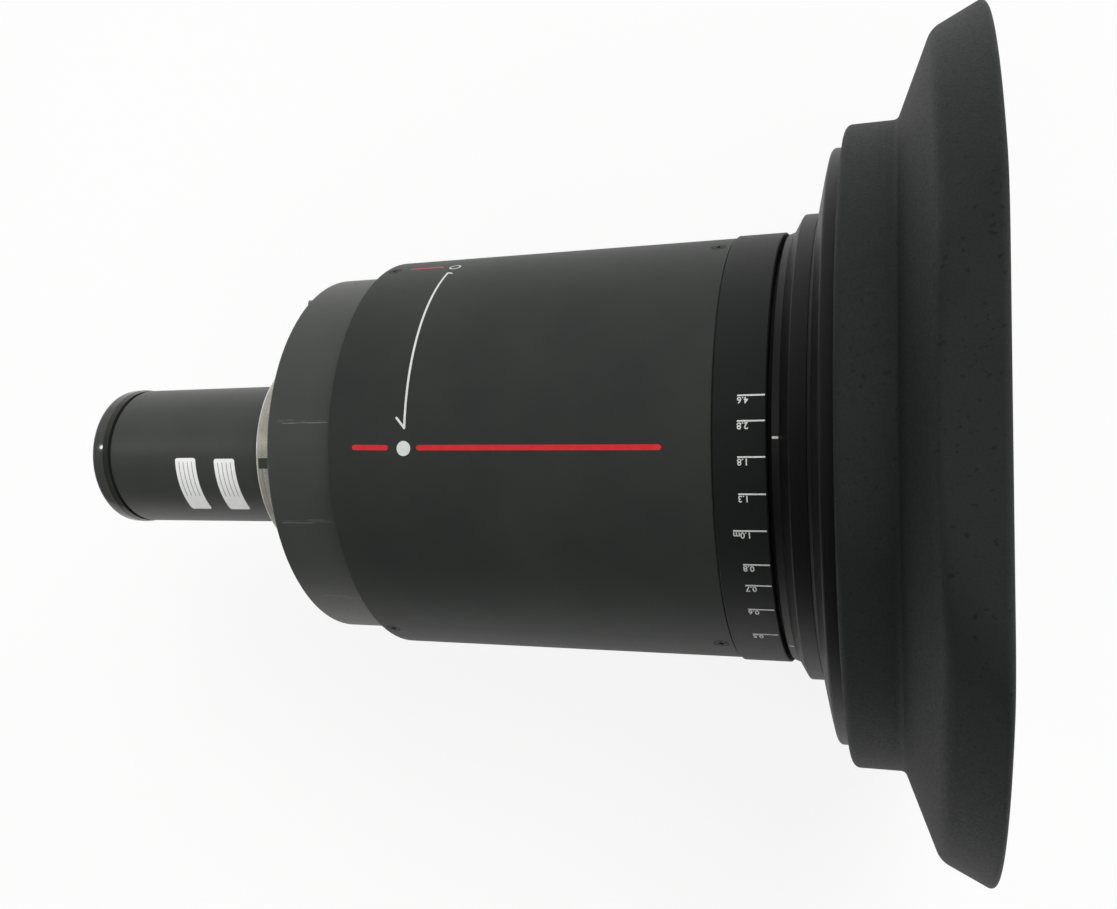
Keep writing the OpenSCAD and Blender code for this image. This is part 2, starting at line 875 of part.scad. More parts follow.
module focus_gear() {
    first = floor((turn_far + sector_spare) / tooth_angle);
    last = ceil((turn_near + sector_spare) / tooth_angle) + sensor_teeth_away;
    root = ring_pitch_r - dedendum;
    // Turned so that a gap between two teeth faces each pinion
    middles = [for (i = [-first:last]) (i + 0.5) * tooth_angle];
    sector = concat(
        [for (a = middles) each tooth(ring_teeth, a)],
        [for (i = [len(middles) - 1:-1:0]) (root - sector_rim) * [cos(middles[i]), sin(middles[i])]]);
    color("#c9a24a")
        difference() {
            union() {
                rod(x_gear, x_web, root);
                rotate([motor_angle - 180, 0, 0])
                    translate([x_gear, 0, 0])
                        rotate([0, 90, 0])
                            linear_extrude(height = gear_t)
                                polygon(sector);
                rotate([lug_angle, 0, 0])
                    arc_tube(x_gear + gear_t / 2, x_web, root - sector_rim, lug_r, -lug_half, lug_half);
            }
            rod(x_gear - cut, x_web + cut, cam_r + run_gap);
        }
}

// Focus ring and cam

module focus_ring() {
    color("#232526")
        difference() {
            lathe([[x_scale, focus_bore], [x_scale, focus_r - edge], [x_scale + edge, focus_r],
                [x_scale_end - edge, focus_r], [x_scale_end, focus_r - edge],
                [x_scale_end, focus_bore], [x_web_end, focus_bore], [x_web_end, cam_r + run_gap],
                [x_web, cam_r + run_gap], [x_web, focus_bore]]);
            cam_bolts() bolt_hole(cap_screw, cam_screw_len);
        }
}

module cam_bolts()
    for (i = [0:screw_six - 1])
        forward(cam_screw_start + i * 360 / screw_six, cam_screw_r, x_flange_end)
            children();

module cam_screws() {
    color("#8d8f92")
        cam_bolts() cap_bolt(cap_screw, cam_screw_len);
}

module cam_tube() {
    x_start = pin_x - roller_r - cam_start_gap;
    color("#6c6e70")
        difference() {
            lathe([[x_start, cam_bore], [x_start, cam_r], [x_web_end, cam_r],
                [x_web_end, cam_flange_r], [x_flange_end, cam_flange_r], [x_flange_end, cam_bore]]);
            for (i = [0:pin_count - 1])
                cam_slot(pin_angle + i * 360 / pin_count);
            cam_bolts() bolt_hole(cap_screw, cam_screw_len);
        }
}

// Slot that climbs in short steps, for a roller that starts at an angle
module cam_slot(start) {
    sweep = turn_near + turn_far;
    roller_half = asin((roller_r + roller_gap) / cam_bore);
    for (i = [0:cam_slot_steps - 1]) {
        from = -turn_far + sweep * i / cam_slot_steps;
        to = -turn_far + sweep * (i + 1) / cam_slot_steps;
        arc_tube(pin_x - cam_lead * to / 360 - roller_r - roller_gap,
            pin_x - cam_lead * from / 360 + roller_r + roller_gap,
            cam_bore - cut, cam_r + cut,
            start + from - roller_half, start + to + roller_half);
    }
}

// Focus group

cell_r = bore_r - run_gap;
focus_glass_r = cell_r - cell_wall;
module focus_cell() {
    color("#2a2b2d")
        difference() {
            rod(cell_x, cell_x + cell_len, cell_r);
            rod(cell_x - cut, cell_x + cell_len + cut, focus_glass_r - cell_lip);
            rod(cell_x + cell_lip, pin_x - pin_r - cell_lip, focus_glass_r + seat_gap);
            rod(pin_x + pin_r + cell_lip, cell_x + cell_len + cut, focus_glass_r + seat_gap);
            focus_pins()
                cylinder(h = cell_r, r = pin_r + thread_gap);
        }
}

module focus_pins()
    for (i = [0:pin_count - 1])
        outward(pin_angle + i * 360 / pin_count, focus_glass_r, pin_x)
            children();

module follower_pins() {
    color("#8d8f92")
        focus_pins()
            cylinder(h = cam_r - seat_gap - focus_glass_r, r = pin_r);
}

module follower_rollers() {
    color("#c9a24a")
        for (i = [0:pin_count - 1])
            outward(pin_angle + i * 360 / pin_count, barrel_r + ring_gap, pin_x)
                difference() {
                    cylinder(h = cam_wall - ring_gap, r = roller_r);
                    translate([0, 0, -cut])
                        cylinder(h = cam_wall + cut, r = pin_r + run_gap);
                }
}

module focus_element_a() {
    x0 = cell_x + cell_lip;
    color("#9fb8c4", 0.5)
        glass(x0 - sag(focus_glass_a_rc[0], focus_glass_r - cell_lip), x0 + focus_glass_a_t,
            focus_glass_r, focus_glass_a_rc[0], focus_glass_a_rc[1]);
}

x_focus_b = pin_x + pin_r + cell_lip;
module focus_element_b() {
    x0 = x_focus_b + sag(-focus_glass_b_rc[0], focus_glass_r - cell_lip);
    color("#9fb8c4", 0.5)
        glass(x0, x0 + focus_glass_b_t, focus_glass_r, focus_glass_b_rc[0], focus_glass_b_rc[1],
            focus_glass_r - cell_lip);
}

module focus_retaining_ring() {
    x_vertex = x_focus_b + sag(-focus_glass_b_rc[0], focus_glass_r - cell_lip) + focus_glass_b_t;
    x0 = x_vertex - sag(focus_glass_b_rc[1], focus_glass_r - cell_lip) + run_gap;
    color("#2a2b2d")
        tube(x0, x0 + focus_ring_nut, focus_glass_r - cell_lip, focus_glass_r);
}

// Front barrel

bushing_r = focus_bore - run_gap;
spigot_front_r = bushing_r - bushing_wall;
module focus_bushing() {
    color("#c9a24a")
        tube(x_scale_end - bushing_len, x_scale_end, spigot_front_r + run_gap, bushing_r);
}

module front_barrel() {
    x_spigot = x_scale_end - bushing_len - cut;
    spigot_in = spigot_front_r - spigot_front_wall;
    color("#232526")
        difference() {
            lathe([[x_spigot, spigot_in], [x_spigot, spigot_front_r], [x_index, spigot_front_r],
                [x_index, sleeve_r - edge], [x_index + edge, sleeve_r], [x_cone, focus_r],
                [x_shoulder, shoulder_r - edge], [x_shoulder + edge, shoulder_r],
                [x_adapter, shoulder_r], [x_adapter, front_bore], [x_index + front_web_t, front_bore],
                [x_index + front_web_t, bore_r], [x_index, bore_r], [x_index, spigot_in]]);
            front_bolts() bolt_hole(cap_screw, front_screw_len);
            adapter_bolts() bolt_hole(cap_screw, adapter_screw_len);
        }
}

module front_bolts()
    for (i = [0:screw_six - 1])
        forward(i * 360 / screw_six, front_screw_r, x_index + front_web_t)
            children();

module front_barrel_screws() {
    color("#8d8f92")
        front_bolts() cap_bolt(cap_screw, front_screw_len);
}

// Adapter between the front barrel and the hood

x_adapter_floor = x_adapter + adapter_plate;
module hood_adapter() {
    face_top = [x_adapter + adapter_face, adapter_r - adapter_face_drop];
    color("#232526")
        difference() {
            lathe(concat(
                [[x_adapter, adapter_bore], [x_adapter, shoulder_r]],
                arc(face_top + [adapter_round, 0], adapter_round, 180, 90),
                [[x_hood, adapter_r], [x_hood, cell_seat_r + cell_gap],
                [x_adapter_floor, cell_seat_r + cell_gap], [x_adapter_floor, adapter_bore]]));
            adapter_bolts() sink_pocket(cap_screw, adapter_screw_len);
            cell_bolts() sunk_pilot(small_screw, cell_screw_len);
            hood_bolts() bolt_hole(cap_screw, hood_screw_len);
        }
}

module sink_pocket(size, len) {
    bolt_hole(size, len);
    cylinder(h = adapter_plate, r = size[1] + seat_gap);
}

module sunk_pilot(size, len)
    translate([0, 0, -len - thread_gap])
        cylinder(h = len, r = size[0] + thread_gap);

module adapter_bolts()
    for (i = [0:screw_six - 1])
        forward(i * 360 / screw_six + 180 / screw_six, adapter_screw_r,
            x_adapter_floor - cap_screw[2] - seat_gap)
            children();

module adapter_screws() {
    color("#8d8f92")
        adapter_bolts() cap_bolt(cap_screw, adapter_screw_len);
}

// Front cell and its glass

x_cell_face = x_adapter_floor + cell_base_t;
x_glass_b = x_adapter_floor - glass_b_edge_x + cell_base_t - glass_b_lip_t;
module front_cell() {
    x_wall = x_dome_edge + retainer_gap;
    color("#1f2122")
        difference() {
            lathe([[x_glass_b - glass_b_lip_t, glass_b_r - glass_b_lip],
                [x_glass_b - glass_b_lip_t, cell_tube_r], [x_adapter_floor, cell_tube_r],
                [x_adapter_floor, cell_seat_r], [x_wall, cell_seat_r], [x_wall, dome_r + seat_gap],
                [x_cell_face, dome_r + seat_gap], [x_cell_face, cell_tube_bore],
                [x_glass_b, cell_tube_bore], [x_glass_b, glass_b_r - glass_b_lip]]);
            cell_bolts() sunk_hole(small_screw, cell_screw_len);
        }
}

module cell_bolts()
    for (i = [0:screw_six - 1])
        forward(i * 360 / screw_six, cell_screw_r, x_cell_face)
            children();

module cell_screws() {
    color("#8d8f92")
        cell_bolts() sunk_screw(small_screw, cell_screw_len);
}

x_gasket = x_cell_face;
x_dome_back = x_gasket + gasket_t;
dome_rear = x_dome_back + sag(dome_rear_rc, dome_hollow_r);
dome_front = dome_rear + dome_t;
x_dome_edge = dome_front - sag(dome_front_rc, dome_r);

// The curves of this glass follow from its thickness and the air gap that it keeps to the dome
glass_b_front = dome_rear - glass_b_air;
glass_b_bulge = glass_b_front - x_glass_b - glass_b_edge_x;
glass_b_rc = (glass_b_r * glass_b_r + glass_b_bulge * glass_b_bulge) / (2 * glass_b_bulge);
glass_b_hollow = glass_b_bulge + glass_b_edge_x - glass_b_t;
glass_b_hollow_rc = (glass_b_hollow_r * glass_b_hollow_r + glass_b_hollow * glass_b_hollow)
    / (2 * glass_b_hollow);
glass_b_rear = x_glass_b + glass_b_hollow;
module front_element_b() {
    color("#9fb8c4", 0.5)
        glass(glass_b_rear, glass_b_front, glass_b_r, -glass_b_hollow_rc, glass_b_rc,
            glass_b_hollow_r);
}

module element_retainer() {
    inner = glass_b_r - retainer_overlap;
    x0 = glass_b_front - sag(glass_b_rc, inner) + run_gap;
    color("#2a2b2d")
        union() {
            tube(x0, max(x0, x_cell_face) + 2 * glass_b_lip_t, inner, glass_b_r);
            tube(x_cell_face, max(x0, x_cell_face) + 2 * glass_b_lip_t, inner, cell_tube_r);
        }
}

module dome_gasket() {
    color("#151515")
        tube(x_gasket, x_dome_back, dome_r - gasket_w, dome_r);
}

module front_dome() {
    color("#8fa9b5", 0.45)
        glass(dome_rear, dome_front, dome_r, -dome_rear_rc, dome_front_rc, dome_hollow_r, dome_steps);
}

module front_retaining_ring() {
    inner = dome_r - retainer_overlap;
    x_seat = dome_front - sag(dome_front_rc, inner) + retainer_gap;
    x_top = x_seat + retainer_t;
    color("#191a1b")
        difference() {
            lathe([[x_seat, inner], [x_top, inner], [x_top, cell_seat_r + retainer_wall],
                [x_seat - retainer_skirt, cell_seat_r + retainer_wall],
                [x_seat - retainer_skirt, cell_seat_r + seat_gap], [x_seat, cell_seat_r + seat_gap]]);
            for (i = [0:notch_count - 1])
                rotate([i * 360 / notch_count + 180 / notch_count, 0, 0])
                    translate([x_top - notch_depth, -notch_w / 2, inner - cut])
                        cube([notch_depth + cut, notch_w, retainer_wall + cell_seat_r]);
        }
}

// Hood

function hood_outline(inset) =
    let (r_tube = hood_r - inset, r_flare = flare_r - inset, r_rim = rim_r - inset,
         back = [x_hood, r_tube], foot = [x_flare + inset / 2, r_tube],
         lip = [x_lip + inset / 2, r_flare], rim = [x_rim, r_rim])
    concat(
        round_corner([x_hood, 0], back, foot, hood_round),
        round_corner(back, foot, lip, flare_round),
        round_corner(foot, lip, rim, lip_round),
        inset > 0 ? [rim] : round_corner(lip, rim, [x_rim, 0], rim_round));

module slab(half)
    translate([x_hood - cut, -2 * rim_r, -half])
        cube([x_rim - x_hood + 2 * cut, 4 * rim_r, 2 * half]);

module hood() {
    color("#2a2c2c")
        difference() {
            intersection() {
                lathe(concat([[x_hood, 0]], hood_outline(0), [[x_rim, 0]]));
                slab(flat_z);
            }
            intersection() {
                lathe(concat([[x_hood + hood_back_t, 0]],
                    [for (p = hood_outline(hood_wall)) [max(p[0], x_hood + hood_back_t), p[1]]],
                    [[x_rim + cut, rim_r - hood_wall], [x_rim + cut, 0]]));
                slab(flat_z - hood_wall);
            }
            rod(x_hood - cut, x_hood + hood_back_t + cut, hood_back_bore);
            hood_bolts() bolt_hole(cap_screw, hood_screw_len);
        }
}

module hood_bolts()
    for (i = [0:hood_screw_count - 1])
        forward(i * 360 / hood_screw_count + 180 / hood_screw_count, hood_screw_r,
            x_hood + hood_back_t)
            children();

module hood_screws() {
    color("#1f2021")
        hood_bolts() cap_bolt(cap_screw, hood_screw_len);
}

// Electronics

module board_frame()
    rotate([board_angle, 0, 0])
        translate([board_x, -board_size[1] / 2, board_r])
            children();

module circuit_board() {
    color("#1f5a38")
        difference() {
            board_frame() cube(board_size);
            standoff_places()
                cylinder(h = board_size[2] + 2 * cut, r = small_screw[0] + thread_gap);
        }
}

module standoff_places()
    for (u = [standoff_inset, board_size[0] - standoff_inset],
         v = [standoff_inset, board_size[1] - standoff_inset])
        board_frame()
            translate([u, v, -cut])
                children();

module board_standoffs() {
    color("#c9a24a")
        difference() {
            standoff_places()
                translate([0, 0, cut - board_r])
                    cylinder(h = board_r, r = standoff_r);
            rod(board_x - cut, board_x + board_size[0] + cut, barrel_r + run_gap);
            standoff_places()
                translate([0, 0, cut + board_size[2]])
                    bolt_hole(small_screw, board_screw_len);
        }
}

module board_screws() {
    color("#8d8f92")
        standoff_places()
            translate([0, 0, cut + board_size[2]])
                cap_bolt(small_screw, board_screw_len);
}

// Chips, with a plug at each end of the board
module board_parts() {
    color("#1c1c1e")
        board_frame() {
            for (i = [0:len(chip_sizes) - 1])
                translate([chip_shares[i][0] * board_size[0] - chip_sizes[i][0] / 2,
                    chip_shares[i][1] * board_size[1] - chip_sizes[i][1] / 2, board_size[2]])
                    cube(chip_sizes[i]);
            for (x = [plug_inset, board_size[0] - plug_inset - plug_size[0]])
                translate([x, (board_size[1] - plug_size[1]) / 2, board_size[2]])
                    cube(plug_size);
        }
}

module wire_along(angle, x0, x1)
    forward(angle, wire_turn_r, x0)
        cylinder(h = x1 - x0, r = wire_r);

// Bundled part of the loom, with a tied joint at each end
module loom_round(x, from, to) {
    translate([x, 0, 0])
        rotate([from - 180, 0, 0])
            rotate([0, 90, 0])
                rotate_extrude(angle = to - from)
                    translate([wire_turn_r, 0])
                        circle(r = loom_r);
    for (a = [from, to])
        outward(a, wire_turn_r, x)
            sphere(r = joint_r);
}

// Wires from the contact block to the board, and from the board to the motor,
// the sensor and the two switches
module wiring() {
    board_turn = 360 + board_angle;
    x_turn = board_x - wire_rear_gap;
    color("#b03a34")
        union() {
            wire_along(contact_angle, x_collar, x_turn);
            loom_round(x_turn, contact_angle, board_turn);
            wire_along(board_turn, x_turn, board_x + plug_inset);
            wire_along(board_turn, board_x + board_size[0] - plug_inset, x_loom);
            loom_round(x_loom, motor_angle, switch_angles[0] + 360);
            wire_along(motor_angle, x_loom, x_loom + motor_wire);
            wire_along(sensor_angle, x_loom, x_bulkhead - sensor_len);
            for (a = switch_angles)
                wire_along(a, x_loom, x_bulkhead_end);
        }
}

rear_end_ring();
rear_barrel();
rear_element_a();
rear_spacer();
rear_element_b();
rear_retaining_ring();
mount_hub();
hub_screws();
mount_collar();
collar_key_pin();
contact_block();
contact_pins();
inner_barrel();
barrel_screws();
barrel_flange();
outer_sleeve();
sleeve_screws_rear();
sleeve_screws_front();
mid_cell();
mid_element_a();
mid_element_b();
aperture_plate();
mid_retaining_ring();
front_bulkhead();
focus_motor();
motor_gearbox();
motor_pinion();
sensor_body();
sensor_gear();
limit_switches();
circuit_board();
board_standoffs();
board_screws();
board_parts();
wiring();
focus_ring();
focus_gear();
cam_screws();
cam_tube();
focus_cell();
follower_pins();
follower_rollers();
focus_element_a();
focus_element_b();
focus_retaining_ring();
focus_bushing();
front_barrel();
front_barrel_screws();
hood_adapter();
adapter_screws();
front_cell();
cell_screws();
front_element_b();
element_retainer();
dome_gasket();
front_dome();
front_retaining_ring();
hood();
hood_screws();
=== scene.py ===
# Projection lens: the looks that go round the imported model
import json
import math

import bmesh
import bpy
import numpy as np
from mathutils import Matrix, Vector


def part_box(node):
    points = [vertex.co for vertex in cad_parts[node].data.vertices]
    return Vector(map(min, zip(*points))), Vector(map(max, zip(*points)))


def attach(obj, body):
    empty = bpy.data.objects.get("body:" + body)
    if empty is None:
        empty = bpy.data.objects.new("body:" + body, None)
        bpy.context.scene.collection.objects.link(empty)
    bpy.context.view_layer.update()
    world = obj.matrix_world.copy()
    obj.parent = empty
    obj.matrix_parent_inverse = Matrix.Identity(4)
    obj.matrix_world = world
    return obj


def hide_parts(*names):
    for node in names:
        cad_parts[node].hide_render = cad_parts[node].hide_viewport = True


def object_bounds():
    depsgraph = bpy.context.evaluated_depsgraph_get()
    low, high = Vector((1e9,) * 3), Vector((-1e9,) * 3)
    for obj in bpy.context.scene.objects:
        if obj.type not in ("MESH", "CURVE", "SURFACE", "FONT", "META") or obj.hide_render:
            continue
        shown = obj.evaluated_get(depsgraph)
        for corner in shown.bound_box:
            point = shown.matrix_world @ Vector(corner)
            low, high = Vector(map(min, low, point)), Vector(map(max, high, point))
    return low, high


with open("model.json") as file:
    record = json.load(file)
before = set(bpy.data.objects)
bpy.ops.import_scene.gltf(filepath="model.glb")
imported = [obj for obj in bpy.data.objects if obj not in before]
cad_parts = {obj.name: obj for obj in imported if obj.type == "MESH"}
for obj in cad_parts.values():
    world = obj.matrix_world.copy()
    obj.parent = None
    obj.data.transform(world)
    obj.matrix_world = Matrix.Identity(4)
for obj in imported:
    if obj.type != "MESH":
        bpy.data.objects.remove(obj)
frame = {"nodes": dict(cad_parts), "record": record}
cadLow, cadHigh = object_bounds()
bpy.context.scene.view_settings.view_transform = "Standard"
mm = 0.001
cadNodes = frame["nodes"]
print("frame loaded with", len(cadNodes), "nodes")

# The camera, from the fitted view of the photograph: its place in mm, along the optical axis and
# away from it, its turns in degrees, and its clipping range in metres
cameraFit = {
    "lensMm": 34.02, "sensorMm": 36.0, "along": 195.53, "away": 404.53,
    "turn": 18.63, "pitch": -0.23, "roll": -0.75, "round": 1.2,
    "nearest": 0.01, "farthest": 20,
}


def makeCamera(fit):
    # Starts from a camera that looks down on the lens, then turns, pitches and rolls its three axes
    turn, pitch, roll = (math.radians(fit[k]) for k in ("turn", "pitch", "roll"))
    right = Vector((math.cos(turn), 0, -math.sin(turn)))
    ahead = Vector((-math.sin(turn), 0, -math.cos(turn)))
    down = Vector((0, -1, 0))
    down, ahead = (math.cos(pitch) * down + math.sin(pitch) * ahead,
                   math.cos(pitch) * ahead - math.sin(pitch) * down)
    right, down = (math.cos(roll) * right - math.sin(roll) * down,
                   math.sin(roll) * right + math.cos(roll) * down)
    axes = Matrix((right, -down, -ahead)).transposed().to_4x4()
    around = Matrix.Rotation(math.radians(fit["round"]), 4, "X")
    place = Matrix.Translation(Vector((fit["along"], 0, fit["away"])) * mm)
    data = bpy.data.cameras.new("photoCamera")
    data.sensor_width, data.lens = fit["sensorMm"], fit["lensMm"]
    data.clip_start, data.clip_end = fit["nearest"], fit["farthest"]
    camera = bpy.data.objects.new("photoCamera", data)
    bpy.context.collection.objects.link(camera)
    camera.matrix_world = around @ place @ axes
    bpy.context.scene.camera = camera


makeCamera(cameraFit)
print("camera placed")


def linear(hexCode):
    # sRGB hex value to the linear colour that shaders use: v / 12.92 for the darkest values, and
    # ((v + 0.055) / 1.055) to the power 2.4 above them
    values = np.array([int(hexCode[i:i + 2], 16) for i in (1, 3, 5)]) / 255
    values = np.where(values <= 0.04045, values / 12.92, ((values + 0.055) / 1.055) ** 2.4)
    return (*values.tolist(), 1.0)


def addNode(tree, kind, inputs=None, **settings):
    # Adds one node. An input that is another node's output is linked, any other is a constant
    node = tree.nodes.new(kind)
    for key, value in settings.items():
        setattr(node, key, value)
    for key, value in (inputs or {}).items():
        if isinstance(value, bpy.types.NodeSocket):
            tree.links.new(value, node.inputs[key])
        else:
            node.inputs[key].default_value = value
    return node


def startMaterial(name):
    # An empty material, and the object's own coordinates in metres
    material = bpy.data.materials.new(name)
    material.use_nodes = True
    tree = material.node_tree
    tree.nodes.clear()
    place = addNode(tree, "ShaderNodeTexCoord").outputs["Object"]
    return material, tree, place


# The two noise values between which each pattern goes from nothing to its whole effect. Specks
# are only the rare deep pits
noiseSpans = {"mottle": (0.35, 0.65), "rings": (0.35, 0.65), "grain": (0.3, 0.7),
              "specks": (0.66, 0.72)}


def surface(name, look):
    # The colour goes from one shade to the other with a slow mottle, and the roughness between
    # its two values with the grain. The height is grain times its depth, and on turned faces
    # also rings times theirs. Rings are noise along (axial + radial distance) / ring spacing.
    # Noise is in metres, so its scale is 1000 over the size in mm
    material, tree, place = startMaterial(name)
    grain = addNode(tree, "ShaderNodeTexNoise", {
        "Vector": place, "Scale": 1000 / look["grainMm"], "Roughness": 0.5,
        "Detail": look.get("grainDetail", 2.0)}).outputs[0]
    mottle = addNode(tree, "ShaderNodeTexNoise", {
        "Vector": place, "Scale": 1000 / look["mottleMm"], "Roughness": 0.6,
        "Detail": 4.0}).outputs[0]
    share = addNode(tree, "ShaderNodeMapRange", {
        "Value": mottle, "From Min": noiseSpans["mottle"][0], "From Max": noiseSpans["mottle"][1],
        "To Min": 0.0, "To Max": 1.0}).outputs[0]
    colour = addNode(tree, "ShaderNodeMix", {
        0: share, 6: linear(look["colour"]), 7: linear(look["worn"])},
        data_type="RGBA").outputs[2]
    if "speck" in look:
        pits = addNode(tree, "ShaderNodeTexNoise", {
            "Vector": place, "Scale": 1000 / look["speckMm"], "Roughness": 0.5,
            "Detail": 1.0}).outputs[0]
        dots = addNode(tree, "ShaderNodeMapRange", {
            "Value": pits, "From Min": noiseSpans["specks"][0],
            "From Max": noiseSpans["specks"][1],
            "To Min": 0.0, "To Max": look["speckShare"]}).outputs[0]
        colour = addNode(tree, "ShaderNodeMix", {0: dots, 6: colour, 7: linear(look["speck"])},
                         data_type="RGBA").outputs[2]
    roughness = addNode(tree, "ShaderNodeMapRange", {
        "Value": grain, "From Min": noiseSpans["grain"][0], "From Max": noiseSpans["grain"][1],
        "To Min": look["rough"][0], "To Max": look["rough"][1]}).outputs[0]
    height = addNode(tree, "ShaderNodeMath", {0: grain, 1: look["grainDepthMm"] * mm},
                     operation="MULTIPLY").outputs[0]
    if "ringMm" in look:
        parts = addNode(tree, "ShaderNodeSeparateXYZ", {0: place}).outputs
        flat = addNode(tree, "ShaderNodeCombineXYZ", {1: parts[1], 2: parts[2]}).outputs[0]
        radial = addNode(tree, "ShaderNodeVectorMath", {0: flat},
                         operation="LENGTH").outputs["Value"]
        path = addNode(tree, "ShaderNodeMath", {0: parts[0], 1: radial},
                       operation="ADD").outputs[0]
        step = addNode(tree, "ShaderNodeMath", {0: path, 1: 1000 / look["ringMm"]},
                       operation="MULTIPLY").outputs[0]
        rings = addNode(tree, "ShaderNodeTexNoise", {"W": step, "Scale": 1.0, "Detail": 2.0},
                        noise_dimensions="1D").outputs[0]
        relief = addNode(tree, "ShaderNodeMath", {0: rings, 1: look["ringDepthMm"] * mm},
                         operation="MULTIPLY").outputs[0]
        height = addNode(tree, "ShaderNodeMath", {0: height, 1: relief},
                         operation="ADD").outputs[0]
        stripes = addNode(tree, "ShaderNodeMapRange", {
            "Value": rings, "From Min": noiseSpans["rings"][0],
            "From Max": noiseSpans["rings"][1],
            "To Min": 0.0, "To Max": look.get("ringShare", 0.3)}).outputs[0]
        colour = addNode(tree, "ShaderNodeMix", {0: stripes, 6: colour, 7: linear(look["worn"])},
                         data_type="RGBA").outputs[2]
    bump = addNode(tree, "ShaderNodeBump", {"Height": height, "Distance": 1.0, "Strength": 1.0})
    shader = addNode(tree, "ShaderNodeBsdfPrincipled", {
        "Base Color": colour, "Roughness": roughness, "Normal": bump.outputs[0], "IOR": 1.5,
        "Metallic": look.get("metallic", 0.0), "Specular IOR Level": look.get("specular", 0.5),
        "Coat Weight": look.get("coat", 0.0), "Coat Roughness": 0.1})
    addNode(tree, "ShaderNodeOutputMaterial", {"Surface": shader.outputs[0]})
    return material


def lensGlass(name, look):
    # Ground and polished optical glass: clear, with a thin coating that tints what it reflects,
    # greenish seen straight and rosy towards the edge, and a little dust that dulls it in places
    material, tree, place = startMaterial(name)
    dust = addNode(tree, "ShaderNodeTexNoise", {
        "Vector": place, "Scale": 1000 / look["dustMm"], "Roughness": 0.5,
        "Detail": 4.0}).outputs[0]
    haze = addNode(tree, "ShaderNodeMapRange", {
        "Value": dust, "From Min": look["dustSpan"][0], "From Max": look["dustSpan"][1],
        "To Min": 0.0, "To Max": look["dustRough"]}).outputs[0]
    facing = addNode(tree, "ShaderNodeLayerWeight", {"Blend": look["edgeBlend"]})
    tint = addNode(tree, "ShaderNodeMix", {
        0: facing.outputs["Facing"], 6: linear(look["tint"]), 7: linear(look["edgeTint"])},
        data_type="RGBA").outputs[2]
    shader = addNode(tree, "ShaderNodeBsdfPrincipled", {
        "Base Color": linear(look["body"]), "Roughness": haze, "IOR": look["ior"],
        "Transmission Weight": 1.0, "Specular Tint": tint, "Specular IOR Level": look["gloss"]})
    addNode(tree, "ShaderNodeOutputMaterial", {"Surface": shader.outputs[0]})
    return material


